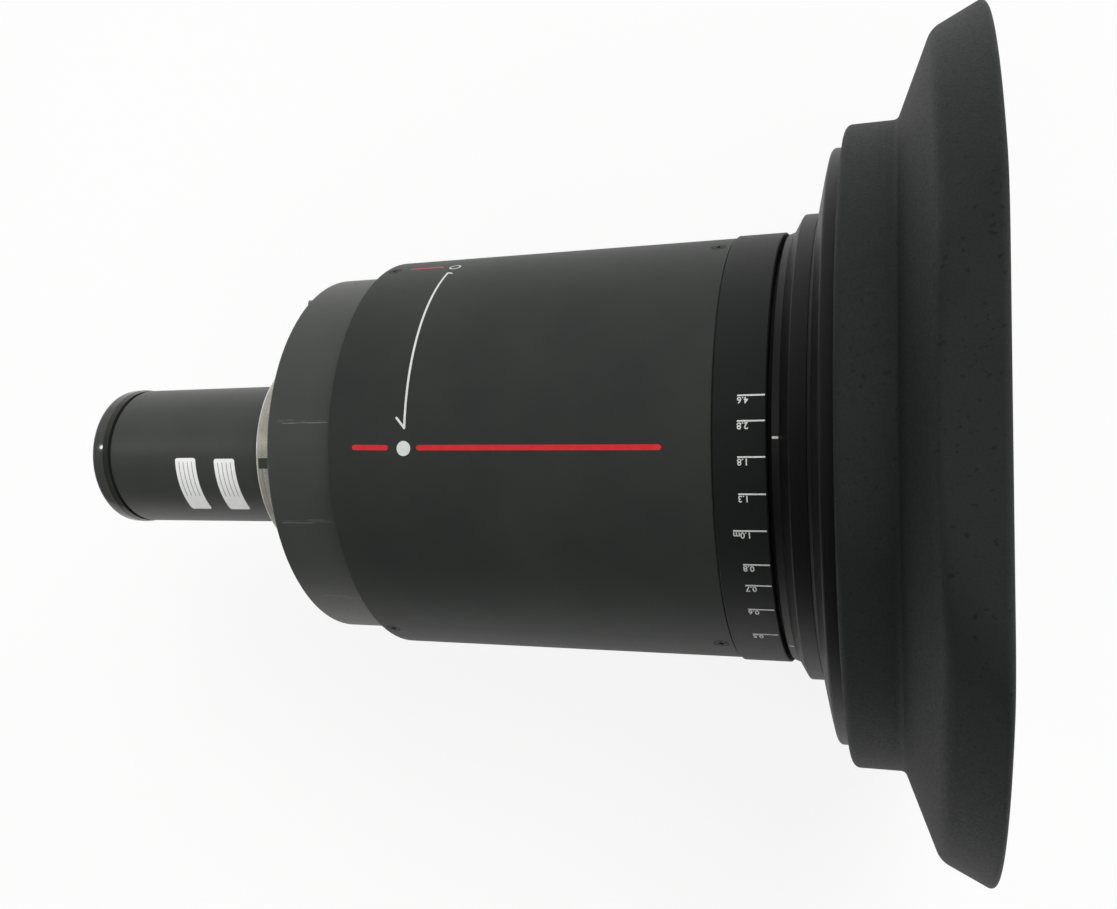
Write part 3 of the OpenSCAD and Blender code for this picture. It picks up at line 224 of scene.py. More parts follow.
# Materials, named for what the real ones are. Blasting grit leaves dents of about 0.1 mm, and a
# lathe's feed lines lie about 0.15 mm apart. Both are drawn at 0.3 mm or more so that they show
finishLooks = {
    # Aluminium, blasted and dyed charcoal: an even soft grey that glows a little along its edges
    "charcoalAnodised": {"colour": "#2a2d2b", "worn": "#2f322f", "mottleMm": 40, "grainMm": 0.35,
                         "grainDepthMm": 0.004, "rough": (0.44, 0.54), "specular": 0.22},
    # The same blast dyed black: darker, with a soft band of light along the top
    "satinBlackAnodised": {"colour": "#111312", "worn": "#151716", "mottleMm": 40,
                           "grainMm": 0.35, "grainDepthMm": 0.004, "rough": (0.48, 0.58),
                           "specular": 0.38},
    # Turned and dyed deep black: fine rings in its highlights, nearly no light elsewhere
    "deepBlackAnodised": {"colour": "#0b0c0b", "worn": "#0e0f0e", "mottleMm": 30, "grainMm": 0.35,
                          "grainDepthMm": 0.003, "rough": (0.4, 0.5), "specular": 0.4,
                          "ringMm": 0.6, "ringDepthMm": 0.002},
    # Turned, with a thin dye that lets the metal's grey through: a greyish black with fine rings
    "blackAnodised": {"colour": "#393b38", "worn": "#3e403d", "mottleMm": 30, "grainMm": 0.4,
                      "grainDepthMm": 0.003, "rough": (0.38, 0.48), "specular": 0.4,
                      "ringMm": 0.5, "ringDepthMm": 0.002},
    # The dye rubbed thin by handling: short pale grey strokes
    "rubbedAnodising": {"colour": "#6c706a", "worn": "#4c4f4a", "mottleMm": 2.5, "grainMm": 0.4,
                        "grainDepthMm": 0.003, "rough": (0.34, 0.5), "specular": 0.5},
    # The dye worn by sliding in the socket: a dull uneven grey
    "wornAnodising": {"colour": "#484a45", "worn": "#3c3e3b", "mottleMm": 3, "grainMm": 0.4,
                      "grainDepthMm": 0.003, "rough": (0.38, 0.5), "specular": 0.4},
    # Burnished before it was dyed: a narrow bright highlight on a dark ring
    "glossBlackAnodised": {"colour": "#3b3c39", "worn": "#41423f", "mottleMm": 20, "grainMm": 0.5,
                           "grainDepthMm": 0.0005, "rough": (0.1, 0.14), "specular": 0.5,
                           "ringMm": 0.4, "ringDepthMm": 0.001},
    # Polished and dyed: a smooth dark band that mirrors the room. Its colour, darker than the gloss
    # ring's, is painted shade
    "polishedBlack": {"colour": "#262824", "worn": "#2b2d28", "mottleMm": 20, "grainMm": 0.5,
                      "grainDepthMm": 0.0005, "rough": (0.08, 0.12), "specular": 0.5},
    # ABS moulded in a sand-textured tool: grit of about 0.4 mm, drawn at 0.75 mm, that scatters
    # the light into a dull skin with small dark pits
    "texturedPlastic": {"colour": "#1b1e1d", "worn": "#202322", "mottleMm": 60, "grainMm": 0.75,
                        "grainDetail": 3.0, "grainDepthMm": 0.05, "rough": (0.58, 0.74),
                        "specular": 0.38, "speckMm": 1.6, "speck": "#0f1110", "speckShare": 0.7},
    # Bare aluminium from the lathe: bundles of feed lines stripe it pale and grey. Its near-white
    # colour and half metal keep it bright under any light, and the stripes also stand as painted
    # reflection bands
    "turnedHubWithSheen": {"colour": "#eeebdf", "worn": "#b9b7aa", "mottleMm": 14, "grainMm": 0.5,
                  "grainDepthMm": 0.003, "rough": (0.26, 0.4), "metallic": 0.6,
                  "ringMm": 1.1, "ringDepthMm": 0.02, "ringShare": 0.9},
    # Bare aluminium with a polished edge, coloured nearly white and only half metal so it stays
    # bright under any light: a painted glint, a thin line
    "polishedRim": {"colour": "#f2f2ec", "worn": "#dededa", "mottleMm": 6, "grainMm": 0.4,
                    "grainDepthMm": 0.002, "rough": (0.2, 0.3), "metallic": 0.4},
    # Turned and dyed matt against stray light: hardly any highlight
    "mattBlackAnodised": {"colour": "#141515", "worn": "#1b1c1c", "mottleMm": 15, "grainMm": 0.3,
                          "grainDepthMm": 0.0005, "rough": (0.55, 0.7), "specular": 0.35,
                          "ringMm": 0.35, "ringDepthMm": 0.003},
    # Ground and plated steel: small sharp highlights
    "brightSteel": {"colour": "#a9abad", "worn": "#8a8c8e", "mottleMm": 3, "grainMm": 0.2,
                    "grainDepthMm": 0.002, "rough": (0.25, 0.38), "metallic": 1.0},
    # Steel screws blackened in a hot bath: an oily near-black
    "blackenedSteel": {"colour": "#0e0e0e", "worn": "#1a1919", "mottleMm": 1.5, "grainMm": 0.15,
                       "grainDepthMm": 0.003, "rough": (0.4, 0.55), "specular": 0.2},
    # Brass, turned and cut: a warm metal with fine rings
    "machinedBrass": {"colour": "#c4a05a", "worn": "#9c7c3e", "mottleMm": 6, "grainMm": 0.3,
                      "grainDepthMm": 0.002, "rough": (0.22, 0.34), "metallic": 1.0,
                      "ringMm": 0.25, "ringDepthMm": 0.002},
    # Aluminium, turned and left bare: a cool grey with fine rings
    "plainAluminium": {"colour": "#b4b6b8", "worn": "#989a9c", "mottleMm": 10, "grainMm": 0.3,
                       "grainDepthMm": 0.003, "rough": (0.3, 0.42), "metallic": 1.0,
                       "ringMm": 0.3, "ringDepthMm": 0.003},
    # Moulded nylon, in a finely eroded tool: a low even sheen
    "mouldedBlackPlastic": {"colour": "#1b1b1c", "worn": "#222223", "mottleMm": 8, "grainMm": 0.3,
                            "grainDepthMm": 0.006, "rough": (0.45, 0.58)},
    # Lacquer over copper and glass cloth: glossy green, lighter where copper lies under it
    "solderMask": {"colour": "#14502c", "worn": "#1d6238", "mottleMm": 2.5, "grainMm": 0.4,
                   "grainDepthMm": 0.004, "rough": (0.28, 0.4), "coat": 0.4},
    # Moulded polyester: a smooth blue case
    "bluePlastic": {"colour": "#274a78", "worn": "#2f5587", "mottleMm": 6, "grainMm": 0.3,
                    "grainDepthMm": 0.004, "rough": (0.35, 0.48)},
    # Acetal, turned from rod: ivory with a waxy sheen
    "naturalAcetal": {"colour": "#dcd8ca", "worn": "#cfcab9", "mottleMm": 4, "grainMm": 0.3,
                      "grainDepthMm": 0.003, "rough": (0.35, 0.5)},
    # Extruded PVC: a soft red gloss
    "wireInsulation": {"colour": "#8f1f1a", "worn": "#6f1713", "mottleMm": 3, "grainMm": 0.2,
                       "grainDepthMm": 0.003, "rough": (0.4, 0.55)},
    # Moulded rubber: dull black, with a bloom of grey
    "nitrileRubber": {"colour": "#121212", "worn": "#191919", "mottleMm": 5, "grainMm": 0.25,
                      "grainDepthMm": 0.006, "rough": (0.6, 0.75)},
    # Screen-printed ink: thin even films, a little uneven in colour where they lie thinner
    "redInk": {"colour": "#cd242b", "worn": "#c01f26", "mottleMm": 3, "grainMm": 0.2,
               "grainDepthMm": 0.002, "rough": (0.38, 0.5)},
    "whiteInk": {"colour": "#d4d6d3", "worn": "#c8cbc7", "mottleMm": 2, "grainMm": 0.2,
                 "grainDepthMm": 0.002, "rough": (0.4, 0.52)},
    "greyInk": {"colour": "#8b8d8c", "worn": "#9c9e9c", "mottleMm": 1, "grainMm": 0.2,
                "grainDepthMm": 0.001, "rough": (0.5, 0.6)},
    # White polyester film with a glued back: smooth, with a slight gloss
    "labelFilm": {"colour": "#fcfcfa", "worn": "#f6f6f3", "mottleMm": 5, "grainMm": 0.3,
                  "grainDepthMm": 0.002, "rough": (0.28, 0.4)},
}
glassLook = {
    "body": "#fbfdfd", "tint": "#c4e4d4", "edgeTint": "#e6d4ee", "edgeBlend": 0.35, "ior": 1.52,
    "gloss": 0.35, "dustMm": 6, "dustSpan": (0.5, 0.8), "dustRough": 0.03,
}
finishes = {name: surface(name, look) for name, look in finishLooks.items()}
finishes["coatedGlass"] = lensGlass("coatedGlass", glassLook)
slotFinishes = {
    "gloss_black": "glossBlackAnodised", "black_anodised": "blackAnodised",
    "charcoal_coat": "charcoalAnodised", "bare_aluminium": "turnedHubWithSheen",
    "hood_plastic": "texturedPlastic", "optical_glass": "coatedGlass",
    "inner_black": "mattBlackAnodised", "steel": "brightSteel", "black_steel": "blackenedSteel",
    "brass": "machinedBrass", "drive_metal": "plainAluminium", "plug_black": "mouldedBlackPlastic",
    "board_green": "solderMask", "sensor_blue": "bluePlastic", "white_plastic": "naturalAcetal",
    "wire_red": "wireInsulation", "seal_rubber": "nitrileRubber",
}
# These two share the sleeve's slot, and have a darker dye than the sleeve
nodeFinishes = {"focus_ring": "satinBlackAnodised", "front_barrel": "deepBlackAnodised"}
for row in frame["record"]["subparts"]:
    node = cadNodes[row["node"]]
    finish = nodeFinishes.get(row["node"], slotFinishes[row["material_slot"]])
    node.data.materials.clear()
    node.data.materials.append(finishes[finish])
print("materials made:", len(finishes))


def gridFaces(rows, columns, closeRows, closeColumns):
    # Four-sided faces between neighbouring rows and columns of a grid of points
    i, j = np.meshgrid(np.arange(rows if closeRows else rows - 1),
                       np.arange(columns if closeColumns else columns - 1), indexing="ij")
    nextI, nextJ = (i + 1) % rows, (j + 1) % columns
    corners = [i * columns + j, nextI * columns + j, nextI * columns + nextJ, i * columns + nextJ]
    return np.stack(corners, -1).reshape(-1, 4)


mergeMm = 0.002  # points closer than this are one


def makePiece(name, points, faces, finish, body, slot, sharpDegrees=35, outward=True):
    # A mesh from points in mm: doubles merged, faces turned outwards, and an edge kept hard
    # where its faces meet at more than the given angle
    mesh = bpy.data.meshes.new(name)
    mesh.from_pydata((np.asarray(points) * mm).tolist(), [], [list(map(int, f)) for f in faces])
    shell = bmesh.new()
    shell.from_mesh(mesh)
    bmesh.ops.remove_doubles(shell, verts=shell.verts, dist=mergeMm * mm)
    if outward:
        bmesh.ops.recalc_face_normals(shell, faces=shell.faces)
    shell.to_mesh(mesh)
    shell.free()
    mesh.shade_smooth()
    mesh.set_sharp_from_angle(angle=math.radians(sharpDegrees))
    mesh.materials.append(finishes[finish])
    piece = bpy.data.objects.new(name, mesh)
    bpy.context.collection.objects.link(piece)
    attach(piece, body)
    return piece


outlineRows = {"shortest": 0.5, "hold": 0.15}  # mm: runs below the first get no rows of their own


def roundedOutline(corners, step, arcSteps=7):
    # Each corner (x, r, radius) of a closed outline becomes an arc that touches both of its sides:
    # its middle lies radius / sin(half the corner) along the corner's bisector. The straight runs
    # between are cut into short steps
    spots = np.array(corners, float)
    runs = []
    for before, here, after in zip(np.roll(spots, 1, 0), spots, np.roll(spots, -1, 0)):
        u, v = before[:2] - here[:2], after[:2] - here[:2]
        u, v = u / np.linalg.norm(u), v / np.linalg.norm(v)
        half = math.acos(np.clip(u @ v, -1, 1)) / 2
        middle = here[:2] + (u + v) / np.linalg.norm(u + v) * here[2] / math.sin(half)
        first = here[:2] + u * here[2] / math.tan(half) - middle
        last = here[:2] + v * here[2] / math.tan(half) - middle
        sweep = math.atan2(first[0] * last[1] - first[1] * last[0], first @ last)
        turns = np.linspace(0, sweep, arcSteps)[:, None]
        runs.append(middle + np.cos(turns) * first
                    + np.sin(turns) * np.array([-first[1], first[0]]))
    outline = []
    for run, following in zip(runs, runs[1:] + runs[:1]):
        outline.append(run)
        gap = following[0] - run[-1]
        length = np.linalg.norm(gap)
        if length > outlineRows["shortest"]:
            # A row close to each arc keeps the shading of the flat runs even
            hold = min(outlineRows["hold"], length / 4)
            stops = np.concatenate([[hold], np.arange(step, length - step / 2, step),
                                    [length - hold]])
            outline.append(run[-1] + gap * (stops / length)[:, None])
    return np.concatenate(outline)


def turned(outline, columns):
    # A profile carried round the axis: (x, r) becomes (x, -r sin a, r cos a)
    angles = np.linspace(0, 2 * np.pi, columns, endpoint=False)
    x = np.repeat(outline[:, :1], columns, 1)
    y = -outline[:, 1:2] * np.sin(angles)
    z = outline[:, 1:2] * np.cos(angles)
    return np.stack([x, y, z], -1).reshape(-1, 3), gridFaces(len(outline), columns, True, True)


# The hood: a turned shell with two flats, in mm. The rounds are those of its ten corners, from
# the bore's rear edge out along the skin to the rim and back along the inside
hoodSizes = {
    "back": 174.8, "bore": 101.9, "tube": 114.0, "foot": 191.5, "lip": 202.0, "lipRadius": 140.8,
    "rim": 217.8, "rimRadius": 148.2, "wall": 3.0, "floor": 4.0, "flat": 135.5,
    "rounds": (0.4, 2.2, 2.0, 7.0, 1.4, 0.8, 5.0, 1.5, 1.0, 0.4),
    "rimStart": 4.0, "softness": 5.0, "steepest": 1e-3, "step": 1.2, "columns": 360,
    "sharpDegrees": 50,
}


def softLower(first, second, width):
    # The lower of two values, with a round of the given width where they meet
    share = np.clip(0.5 + 0.5 * (second - first) / width, 0, 1)
    return second + (first - second) * share - width * share * (1 - share)


def hoodShell(size):
    # The profile's radius r at angle a is the softer lower of r and flat / |cos a|, which is the
    # flat's own distance. Inside, the flat lies deeper by the wall
    wall = size["wall"]
    corners = [
        (size["back"], size["bore"]), (size["back"], size["tube"]),
        (size["foot"], size["tube"]), (size["lip"], size["lipRadius"]),
        (size["rim"], size["rimRadius"]), (size["rim"], size["rimRadius"] - wall),
        (size["lip"] + wall / 2, size["lipRadius"] - wall),
        (size["foot"] + wall / 2, size["tube"] - wall),
        (size["back"] + size["floor"], size["tube"] - wall),
        (size["back"] + size["floor"], size["bore"])]
    outline = roundedOutline([(*spot, bend) for spot, bend in zip(corners, size["rounds"])],
                             size["step"])
    x, r = outline.T
    slope = (size["rimRadius"] - size["lipRadius"]) / (size["rim"] - size["lip"])
    skin = size["lipRadius"] + (x - size["lip"]) * slope  # radius of the outer skin near the rim
    nearRim = x > size["lip"] + size["rimStart"]
    inner = np.arange(len(x)) > np.argmax(x)
    depth = np.where(nearRim, np.clip(skin - r, 0, wall), np.where(inner, wall, 0))
    angles = np.linspace(0, 2 * np.pi, size["columns"], endpoint=False)
    lean = np.maximum(np.abs(np.cos(angles)), size["steepest"])
    reach = softLower(r[:, None], (size["flat"] - depth)[:, None] / lean, size["softness"])
    points = np.stack([np.repeat(x[:, None], len(angles), 1),
                       -reach * np.sin(angles), reach * np.cos(angles)], -1)
    return points.reshape(-1, 3), gridFaces(len(x), len(angles), True, True)


hood = makePiece("hoodShell", *hoodShell(hoodSizes), "texturedPlastic", "lens_body",
                 "hood_plastic", hoodSizes["sharpDegrees"])
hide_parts("hood")

# The adapter: a short cone, a steep face that leans back near its corner, and a band. Each
# corner is x, radius and round in mm
adapterSizes = {
    "corners": [
        (165.2, 70.0, 0.2), (165.2, 84.9, 0.2), (166.9, 86.3, 0.5), (167.1, 92.6, 4.0),
        (169.15, 101.6, 3.0), (170.5, 106.8, 1.2), (174.8, 106.8, 0.3), (174.8, 101.3, 0.2),
        (169.5, 101.3, 0.2), (169.5, 70.0, 0.2)],
    "step": 2.0, "columns": 320,
}
adapterOutline = roundedOutline(adapterSizes["corners"], adapterSizes["step"])
adapter = makePiece("adapterRing", *turned(adapterOutline, adapterSizes["columns"]),
                    "deepBlackAnodised", "lens_body", "charcoal_coat")
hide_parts("hood_adapter")

# The rear end ring: slightly crowned, with a polished neck behind it, in mm. The peak is the
# share of its length at which the crown is highest. The neck's darker colour is painted shade
endRingSizes = {
    "rear": -148.1, "neck": -141.3, "radius": 30.4, "crown": 0.12, "peak": 0.75, "round": 2.6,
    "mouth": 22.5, "lip": 2.2, "bore": 28.05, "neckChamfer": 0.1, "lipChamfer": 0.2,
    "mouthChamfer": 0.3, "rows": 14, "arcRows": 9, "columns": 240, "sharpDegrees": 40,
}
shadedNeckSizes = {
    "corners": [(-141.3, 28.05, 0.1), (-141.3, 30.3, 0.1), (-139.2, 29.95, 0.3),
                (-139.2, 28.05, 0.1)],
    "step": 0.5, "arcSteps": 4, "columns": 240,
}


def endRing(size):
    # The outer face is a parabola over its length, highest at its peak, after a rounded edge
    x = np.linspace(size["rear"] + size["round"], size["neck"] - size["neckChamfer"],
                    size["rows"])
    share = (x - x[0]) / (x[-1] - x[0])
    low = size["radius"] - size["crown"]
    crown = low + size["crown"] * (1 - (share / size["peak"] - 1) ** 2)
    turn = np.linspace(np.pi, np.pi / 2, size["arcRows"])
    rearArc = np.stack([x[0] + size["round"] * np.cos(turn),
                        low - size["round"] + size["round"] * np.sin(turn)], -1)
    seat = size["rear"] + size["lip"]
    inside = [
        [size["neck"], low - size["neckChamfer"]], [size["neck"], size["bore"]],
        [seat, size["bore"]], [seat, size["mouth"] + size["lipChamfer"]],
        [seat - size["lipChamfer"], size["mouth"]],
        [size["rear"] + size["mouthChamfer"], size["mouth"]],
        [size["rear"], size["mouth"] + size["mouthChamfer"]]]
    return np.concatenate([rearArc[:-1], np.stack([x, crown], -1), inside])


ring = makePiece("endRing", *turned(endRing(endRingSizes), endRingSizes["columns"]),
                 "glossBlackAnodised", "lens_body", "gloss_black", endRingSizes["sharpDegrees"])
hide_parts("rear_end_ring")
# The neck is smooth and coloured darker than the ring: painted shade for the dark band between ring
# and barrel
shadedNeckOutline = roundedOutline(shadedNeckSizes["corners"], shadedNeckSizes["step"], shadedNeckSizes["arcSteps"])
makePiece("endRingShadedNeck", *turned(shadedNeckOutline, shadedNeckSizes["columns"]), "polishedBlack",
          "lens_body", "gloss_black")

# The front dome: two ground spherical faces with their radii of curvature, and a ground edge.
# It sits where the CAD's dome does
domeSizes = {
    "back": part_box("front_dome")[0].x / mm, "edge": 96.0, "clear": 84.0, "front": 240.0,
    "rear": 170.0, "thick": 12.0, "chamfer": 0.4, "rings": 40, "columns": 256,
}


def sag(curve, radius):
    # Depth of a spherical face at a radius: curve - sqrt(curve squared - radius squared)
    return curve - np.sqrt(curve * curve - radius * radius)


def domeGlass(size):
    # Each face is its tip less the sag at each radius, and a flat edge joins the two
    rearTip = size["back"] + sag(size["rear"], size["clear"])
    frontTip = rearTip + size["thick"]
    inner = np.linspace(0, size["clear"], size["rings"])
    outer = np.linspace(size["edge"], 0, size["rings"])
    outline = np.concatenate([
        np.stack([rearTip - sag(size["rear"], inner), inner], -1),
        [[size["back"], size["edge"] - size["chamfer"]],
         [size["back"] + size["chamfer"], size["edge"]]],
        np.stack([frontTip - sag(size["front"], outer), outer], -1)])
    return turned(outline, size["columns"])


dome = makePiece("domeGlass", *domeGlass(domeSizes), "coatedGlass", "lens_body", "optical_glass")
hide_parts("front_dome")
print("hood, adapter, end ring and dome made")

# Radii in mm of the turned faces that carry marks, strips and labels. The index ring rises from
# the sleeve's radius after its edge
faceRadii = {"sleeve": 78.5, "scale": 79.3, "barrel": 29.9, "collar": 73.15, "hub": 42.0}
indexRise = {"start": 154.25, "length": 2.35, "height": 0.8}


def roundFace(name):
    # The same radius at every x
    return lambda x: np.full_like(x, faceRadii[name])


def indexFace(x):
    # A straight rise from the sleeve's radius over the rise's length, level before and after
    share = np.clip((x - indexRise["start"]) / indexRise["length"], 0, 1)
    return faceRadii["sleeve"] + share * indexRise["height"]


def arcAt(degrees, radius):
    # Length along a round face: angle times radius
    return math.radians(degrees) * radius


def roundedPlate(length, width, corner, spot, turn=0.0, step=0.8, arcRows=6):
    # A rounded rectangle as a grid of rows: at a distance e from an end the half width shrinks by
    # corner - sqrt(corner squared - (corner - e) squared), as the corner's circle does. It is
    # turned in the plane and moved to its spot (x, arc length)
    ease = corner * (1 - np.cos(np.linspace(0, np.pi / 2, arcRows)))
    runs = max(2, int((length - 2 * corner) / step) + 2)
    u = np.concatenate([ease[:-1], np.linspace(corner, length - corner, runs),
                        length - ease[:-1][::-1]])
    e = np.minimum(u, length - u)
    drop = corner - np.sqrt(np.clip(corner ** 2 - (corner - e) ** 2, 0, None))
    inset = np.where(e < corner, drop, 0)
    columns = max(2, int(width / step) + 2)
    w = np.linspace(-1, 1, columns) * (width / 2 - inset)[:, None]
    u = np.repeat((u - length / 2)[:, None], columns, 1)
    c, s = math.cos(math.radians(turn)), math.sin(math.radians(turn))
    flat = np.stack([spot[0] + u * c - w * s, spot[1] + u * s + w * c], -1).reshape(-1, 2)
    return flat, gridFaces(len(u), columns, False, False)


def ringPlate(radius, width, spot, columns=48):
    # A flat ring between two circles
    angles = np.linspace(0, 2 * np.pi, columns, endpoint=False)
    reach = np.array([[radius - width / 2], [radius + width / 2]])
    flat = np.stack([spot[0] + reach * np.cos(angles), spot[1] + reach * np.sin(angles)], -1)
    return flat.reshape(-1, 2), gridFaces(2, columns, False, True)


def numeral(words, look, tickEnd, tickArc):
    # Type is turned half round: it runs towards the rear and its top points down the round face.
    # Its flat outline is scaled so that its height is the look's
    curve = bpy.data.curves.new("numeral", "FONT")
    curve.body, curve.resolution_u, curve.offset = words, look["smoothness"], look["weight"]
    holder = bpy.data.objects.new("numeral", curve)
    bpy.context.collection.objects.link(holder)
    mesh = bpy.data.meshes.new_from_object(
        holder.evaluated_get(bpy.context.evaluated_depsgraph_get()))
    flat = np.zeros(len(mesh.vertices) * 3)
    mesh.vertices.foreach_get("co", flat)
    flat = flat.reshape(-1, 3)[:, :2]
    faces = [list(p.vertices) for p in mesh.polygons]
    bpy.data.objects.remove(holder)
    low, high = flat.min(0), flat.max(0)
    scale = look["height"] / (high[1] - low[1])
    x = tickEnd + (high[0] - flat[:, 0]) * scale
    arc = tickArc + (flat[:, 1] - low[1]) * scale
    return np.stack([x, arc], -1), faces


def makePrint(name, shapes, face, finish, body, slot, film=0.05, depth=0.02, sharpDegrees=30):
    # Wraps flat shapes on a turned face: arc length over radius is the angle. The film stands
    # proud of the face by one value and goes into it by the other, in mm
    points, faces, start = [], [], 0
    for flat, itsFaces in shapes:
        x, arc = flat.T
        radius = face(x)
        angle = arc / radius
        reach = radius + film
        points.append(np.stack([x, -reach * np.sin(angle), reach * np.cos(angle)], -1))
        faces += [[start + int(v) for v in f] for f in itsFaces]
        start += len(flat)
    piece = makePiece(name, np.concatenate(points), faces, finish, body, slot, outward=False)
    middle = piece.data.polygons[0]
    if middle.normal.dot(Vector((0, *middle.center[1:]))) < 0:
        piece.data.flip_normals()
    # Its thickness goes inwards, with hard edges
    sheet = bmesh.new()
    sheet.from_mesh(piece.data)
    bmesh.ops.solidify(sheet, geom=list(sheet.faces), thickness=(film + depth) * mm)
    bmesh.ops.recalc_face_normals(sheet, faces=sheet.faces)
    sheet.to_mesh(piece.data)
    sheet.free()
    piece.data.set_sharp_from_angle(angle=math.radians(sharpDegrees))
    return piece


endRound = 0.98  # share of a stroke's half width that rounds its ends


def axialLine(ends, degrees, width, radius):
    # A stroke along the axis between two places x
    middle = ((ends[0] + ends[1]) / 2, arcAt(degrees, radius))
    return roundedPlate(ends[1] - ends[0], width, width / 2 * endRound, middle)


def stroke(first, last, width, overrun=1.0):
    # A straight stroke between two points (x, degrees) of the sleeve, longer than their distance
    # by its width times the overrun
    a = np.array([first[0], arcAt(first[1], faceRadii["sleeve"])])
    b = np.array([last[0], arcAt(last[1], faceRadii["sleeve"])])
    gap = b - a
    return roundedPlate(np.linalg.norm(gap) + width * overrun, width, width / 2 * endRound,
                        (a + b) / 2, math.degrees(math.atan2(gap[1], gap[0])))


# The sleeve's marks, in mm and degrees: the red line in two parts, and the thin one at the place
# where the lens comes out of its socket
redMarks = {"near": ((9.6, -0.2), (23.6, 0.0)), "far": ((34.3, 0.1), (119.8, 0.8)),
            "unlock": ((11.0, -63.5), (24.9, -63.5)), "width": 1.85, "thinWidth": 1.0}
makePrint("redLines", [
    stroke(*redMarks["near"], redMarks["width"], 0),
    stroke(*redMarks["far"], redMarks["width"], 0),
    stroke(*redMarks["unlock"], redMarks["thinWidth"], 0)],
    roundFace("sleeve"), "redInk", "lens_body", "charcoal_coat")

# White: the dot, the open ring, and the curved arrow between them with its barb and its hook
whiteMarks = {
    "dot": (29.5, 0.25), "dotRadius": 2.6, "dotRound": 0.99,
    "ring": (30.3, -62.5), "ringRadius": 2.0, "ringWidth": 0.55,
    "arcX": 29.7, "arcFrom": -58.0, "arcTo": -4.9, "arcCorner": 0.35, "stroke": 0.8,
    "barb": (26.6, -7.5), "hook": (31.6, -57.4),
}


def sleeveMarks(look):
    # Plates on the unrolled sleeve, at (x, angle times radius)
    radius = faceRadii["sleeve"]
    dot, ring = ((x, arcAt(angle, radius)) for x, angle in (look["dot"], look["ring"]))
    arcLength = arcAt(look["arcTo"] - look["arcFrom"], radius)
    arcMiddle = arcAt((look["arcTo"] + look["arcFrom"]) / 2, radius)
    return [
        roundedPlate(2 * look["dotRadius"], 2 * look["dotRadius"],
                     look["dotRadius"] * look["dotRound"], dot),
        ringPlate(look["ringRadius"], look["ringWidth"], ring),
        roundedPlate(arcLength, look["stroke"], look["arcCorner"], (look["arcX"], arcMiddle), 90.0),
        stroke((look["arcX"], look["arcTo"]), look["barb"], look["stroke"]),
        stroke((look["arcX"], look["arcFrom"]), look["hook"], look["stroke"])]


makePrint("sleeveMarks", sleeveMarks(whiteMarks), roundFace("sleeve"), "whiteInk", "lens_body",
          "charcoal_coat")

# The collar's guide grooves. Worn strips fill them, flush with the round face
guideStrips = {"angles": (-8, 21, 50, 112, 141, 170, 232, 261, 290), "x": (-25.0, -4.0),
               "width": 0.8, "corner": 0.05, "film": 0.0, "depth": 0.34}

# Handling has rubbed the grooves' edges: uneven pale strokes on the round face beside each one.
# The waves only scatter their lengths, widths and places, the same way in each run
rubbedEdges = {"offset": 0.62, "thinnest": 0.6, "thicker": 0.6, "width": 0.3, "corner": 0.1,
               "ends": (-25.5, -3.5), "shares": (0.3, 1.0), "longest": 0.9,
               "lengthWaves": (7.3, 2.1), "placeWave": 3.7, "film": 0.02}


def rubbedStrokes(look, grooves):
    # A stroke's length and width follow 0.5 + 0.5 sin(first wave * groove + second * side), and
    # its start follows 0.5 + 0.5 sin(place wave * groove + side) of the room that is left
    strokes = []
    low, high = look["ends"]
    lengthWave, sideWave = look["lengthWaves"]
    for k, groove in enumerate(grooves):
        for side in (-1, 1):
            wave = 0.5 + 0.5 * math.sin(lengthWave * k + sideWave * side)
            share = look["shares"][0] + (look["shares"][1] - look["shares"][0]) * wave
            length = (high - low) * share * look["longest"]
            width = look["width"] * (look["thinnest"] + look["thicker"] * wave)
            start = low + (high - low - length) * (
                0.5 + 0.5 * math.sin(look["placeWave"] * k + side))
            arc = arcAt(groove, faceRadii["collar"]) + side * look["offset"]
            strokes.append(roundedPlate(length, width, look["corner"], (start + length / 2, arc)))
    return strokes


makePrint("rubbedEdges", rubbedStrokes(rubbedEdges, guideStrips["angles"]), roundFace("collar"),
          "rubbedAnodising", "lens_body", "black_anodised", rubbedEdges["film"])
makePrint("guideStrips", [
    roundedPlate(guideStrips["x"][1] - guideStrips["x"][0], guideStrips["width"],
                 guideStrips["corner"],
                 (sum(guideStrips["x"]) / 2, arcAt(angle, faceRadii["collar"])))
    for angle in guideStrips["angles"]],
    roundFace("collar"), "wornAnodising", "lens_body", "black_anodised", guideStrips["film"],
    guideStrips["depth"])

# A black tongue of the collar fills the slot in the bright hub, flush with the hub's face
tongue = {"x": (-53.7, -35.1), "angle": 6.3, "width": 4.2, "corner": 0.15, "film": 0.03,
          "depth": 2.8}
makePrint("collarTongue", [roundedPlate(
    tongue["x"][1] - tongue["x"][0], tongue["width"], tongue["corner"],
    (sum(tongue["x"]) / 2, arcAt(tongue["angle"], faceRadii["hub"])))],
    roundFace("hub"), "blackAnodised", "lens_body", "black_anodised", tongue["film"],
    tongue["depth"])

# The hub's rear edge is polished: a thin ring let into it, coloured nearly white as a painted glint
hubGlintRingSizes = {
    "corners": [(-55.03, 41.0, 0.05), (-55.03, 41.6, 0.1), (-54.6, 42.04, 0.2),
                (-54.2, 42.04, 0.05), (-54.2, 41.0, 0.05)],
    "step": 0.5, "arcSteps": 4, "columns": 200,
}
glintRingOutline = roundedOutline(hubGlintRingSizes["corners"], hubGlintRingSizes["step"], hubGlintRingSizes["arcSteps"])
makePiece("hubGlintRing", *turned(glintRingOutline, hubGlintRingSizes["columns"]), "polishedRim", "lens_body",
          "bare_aluminium")

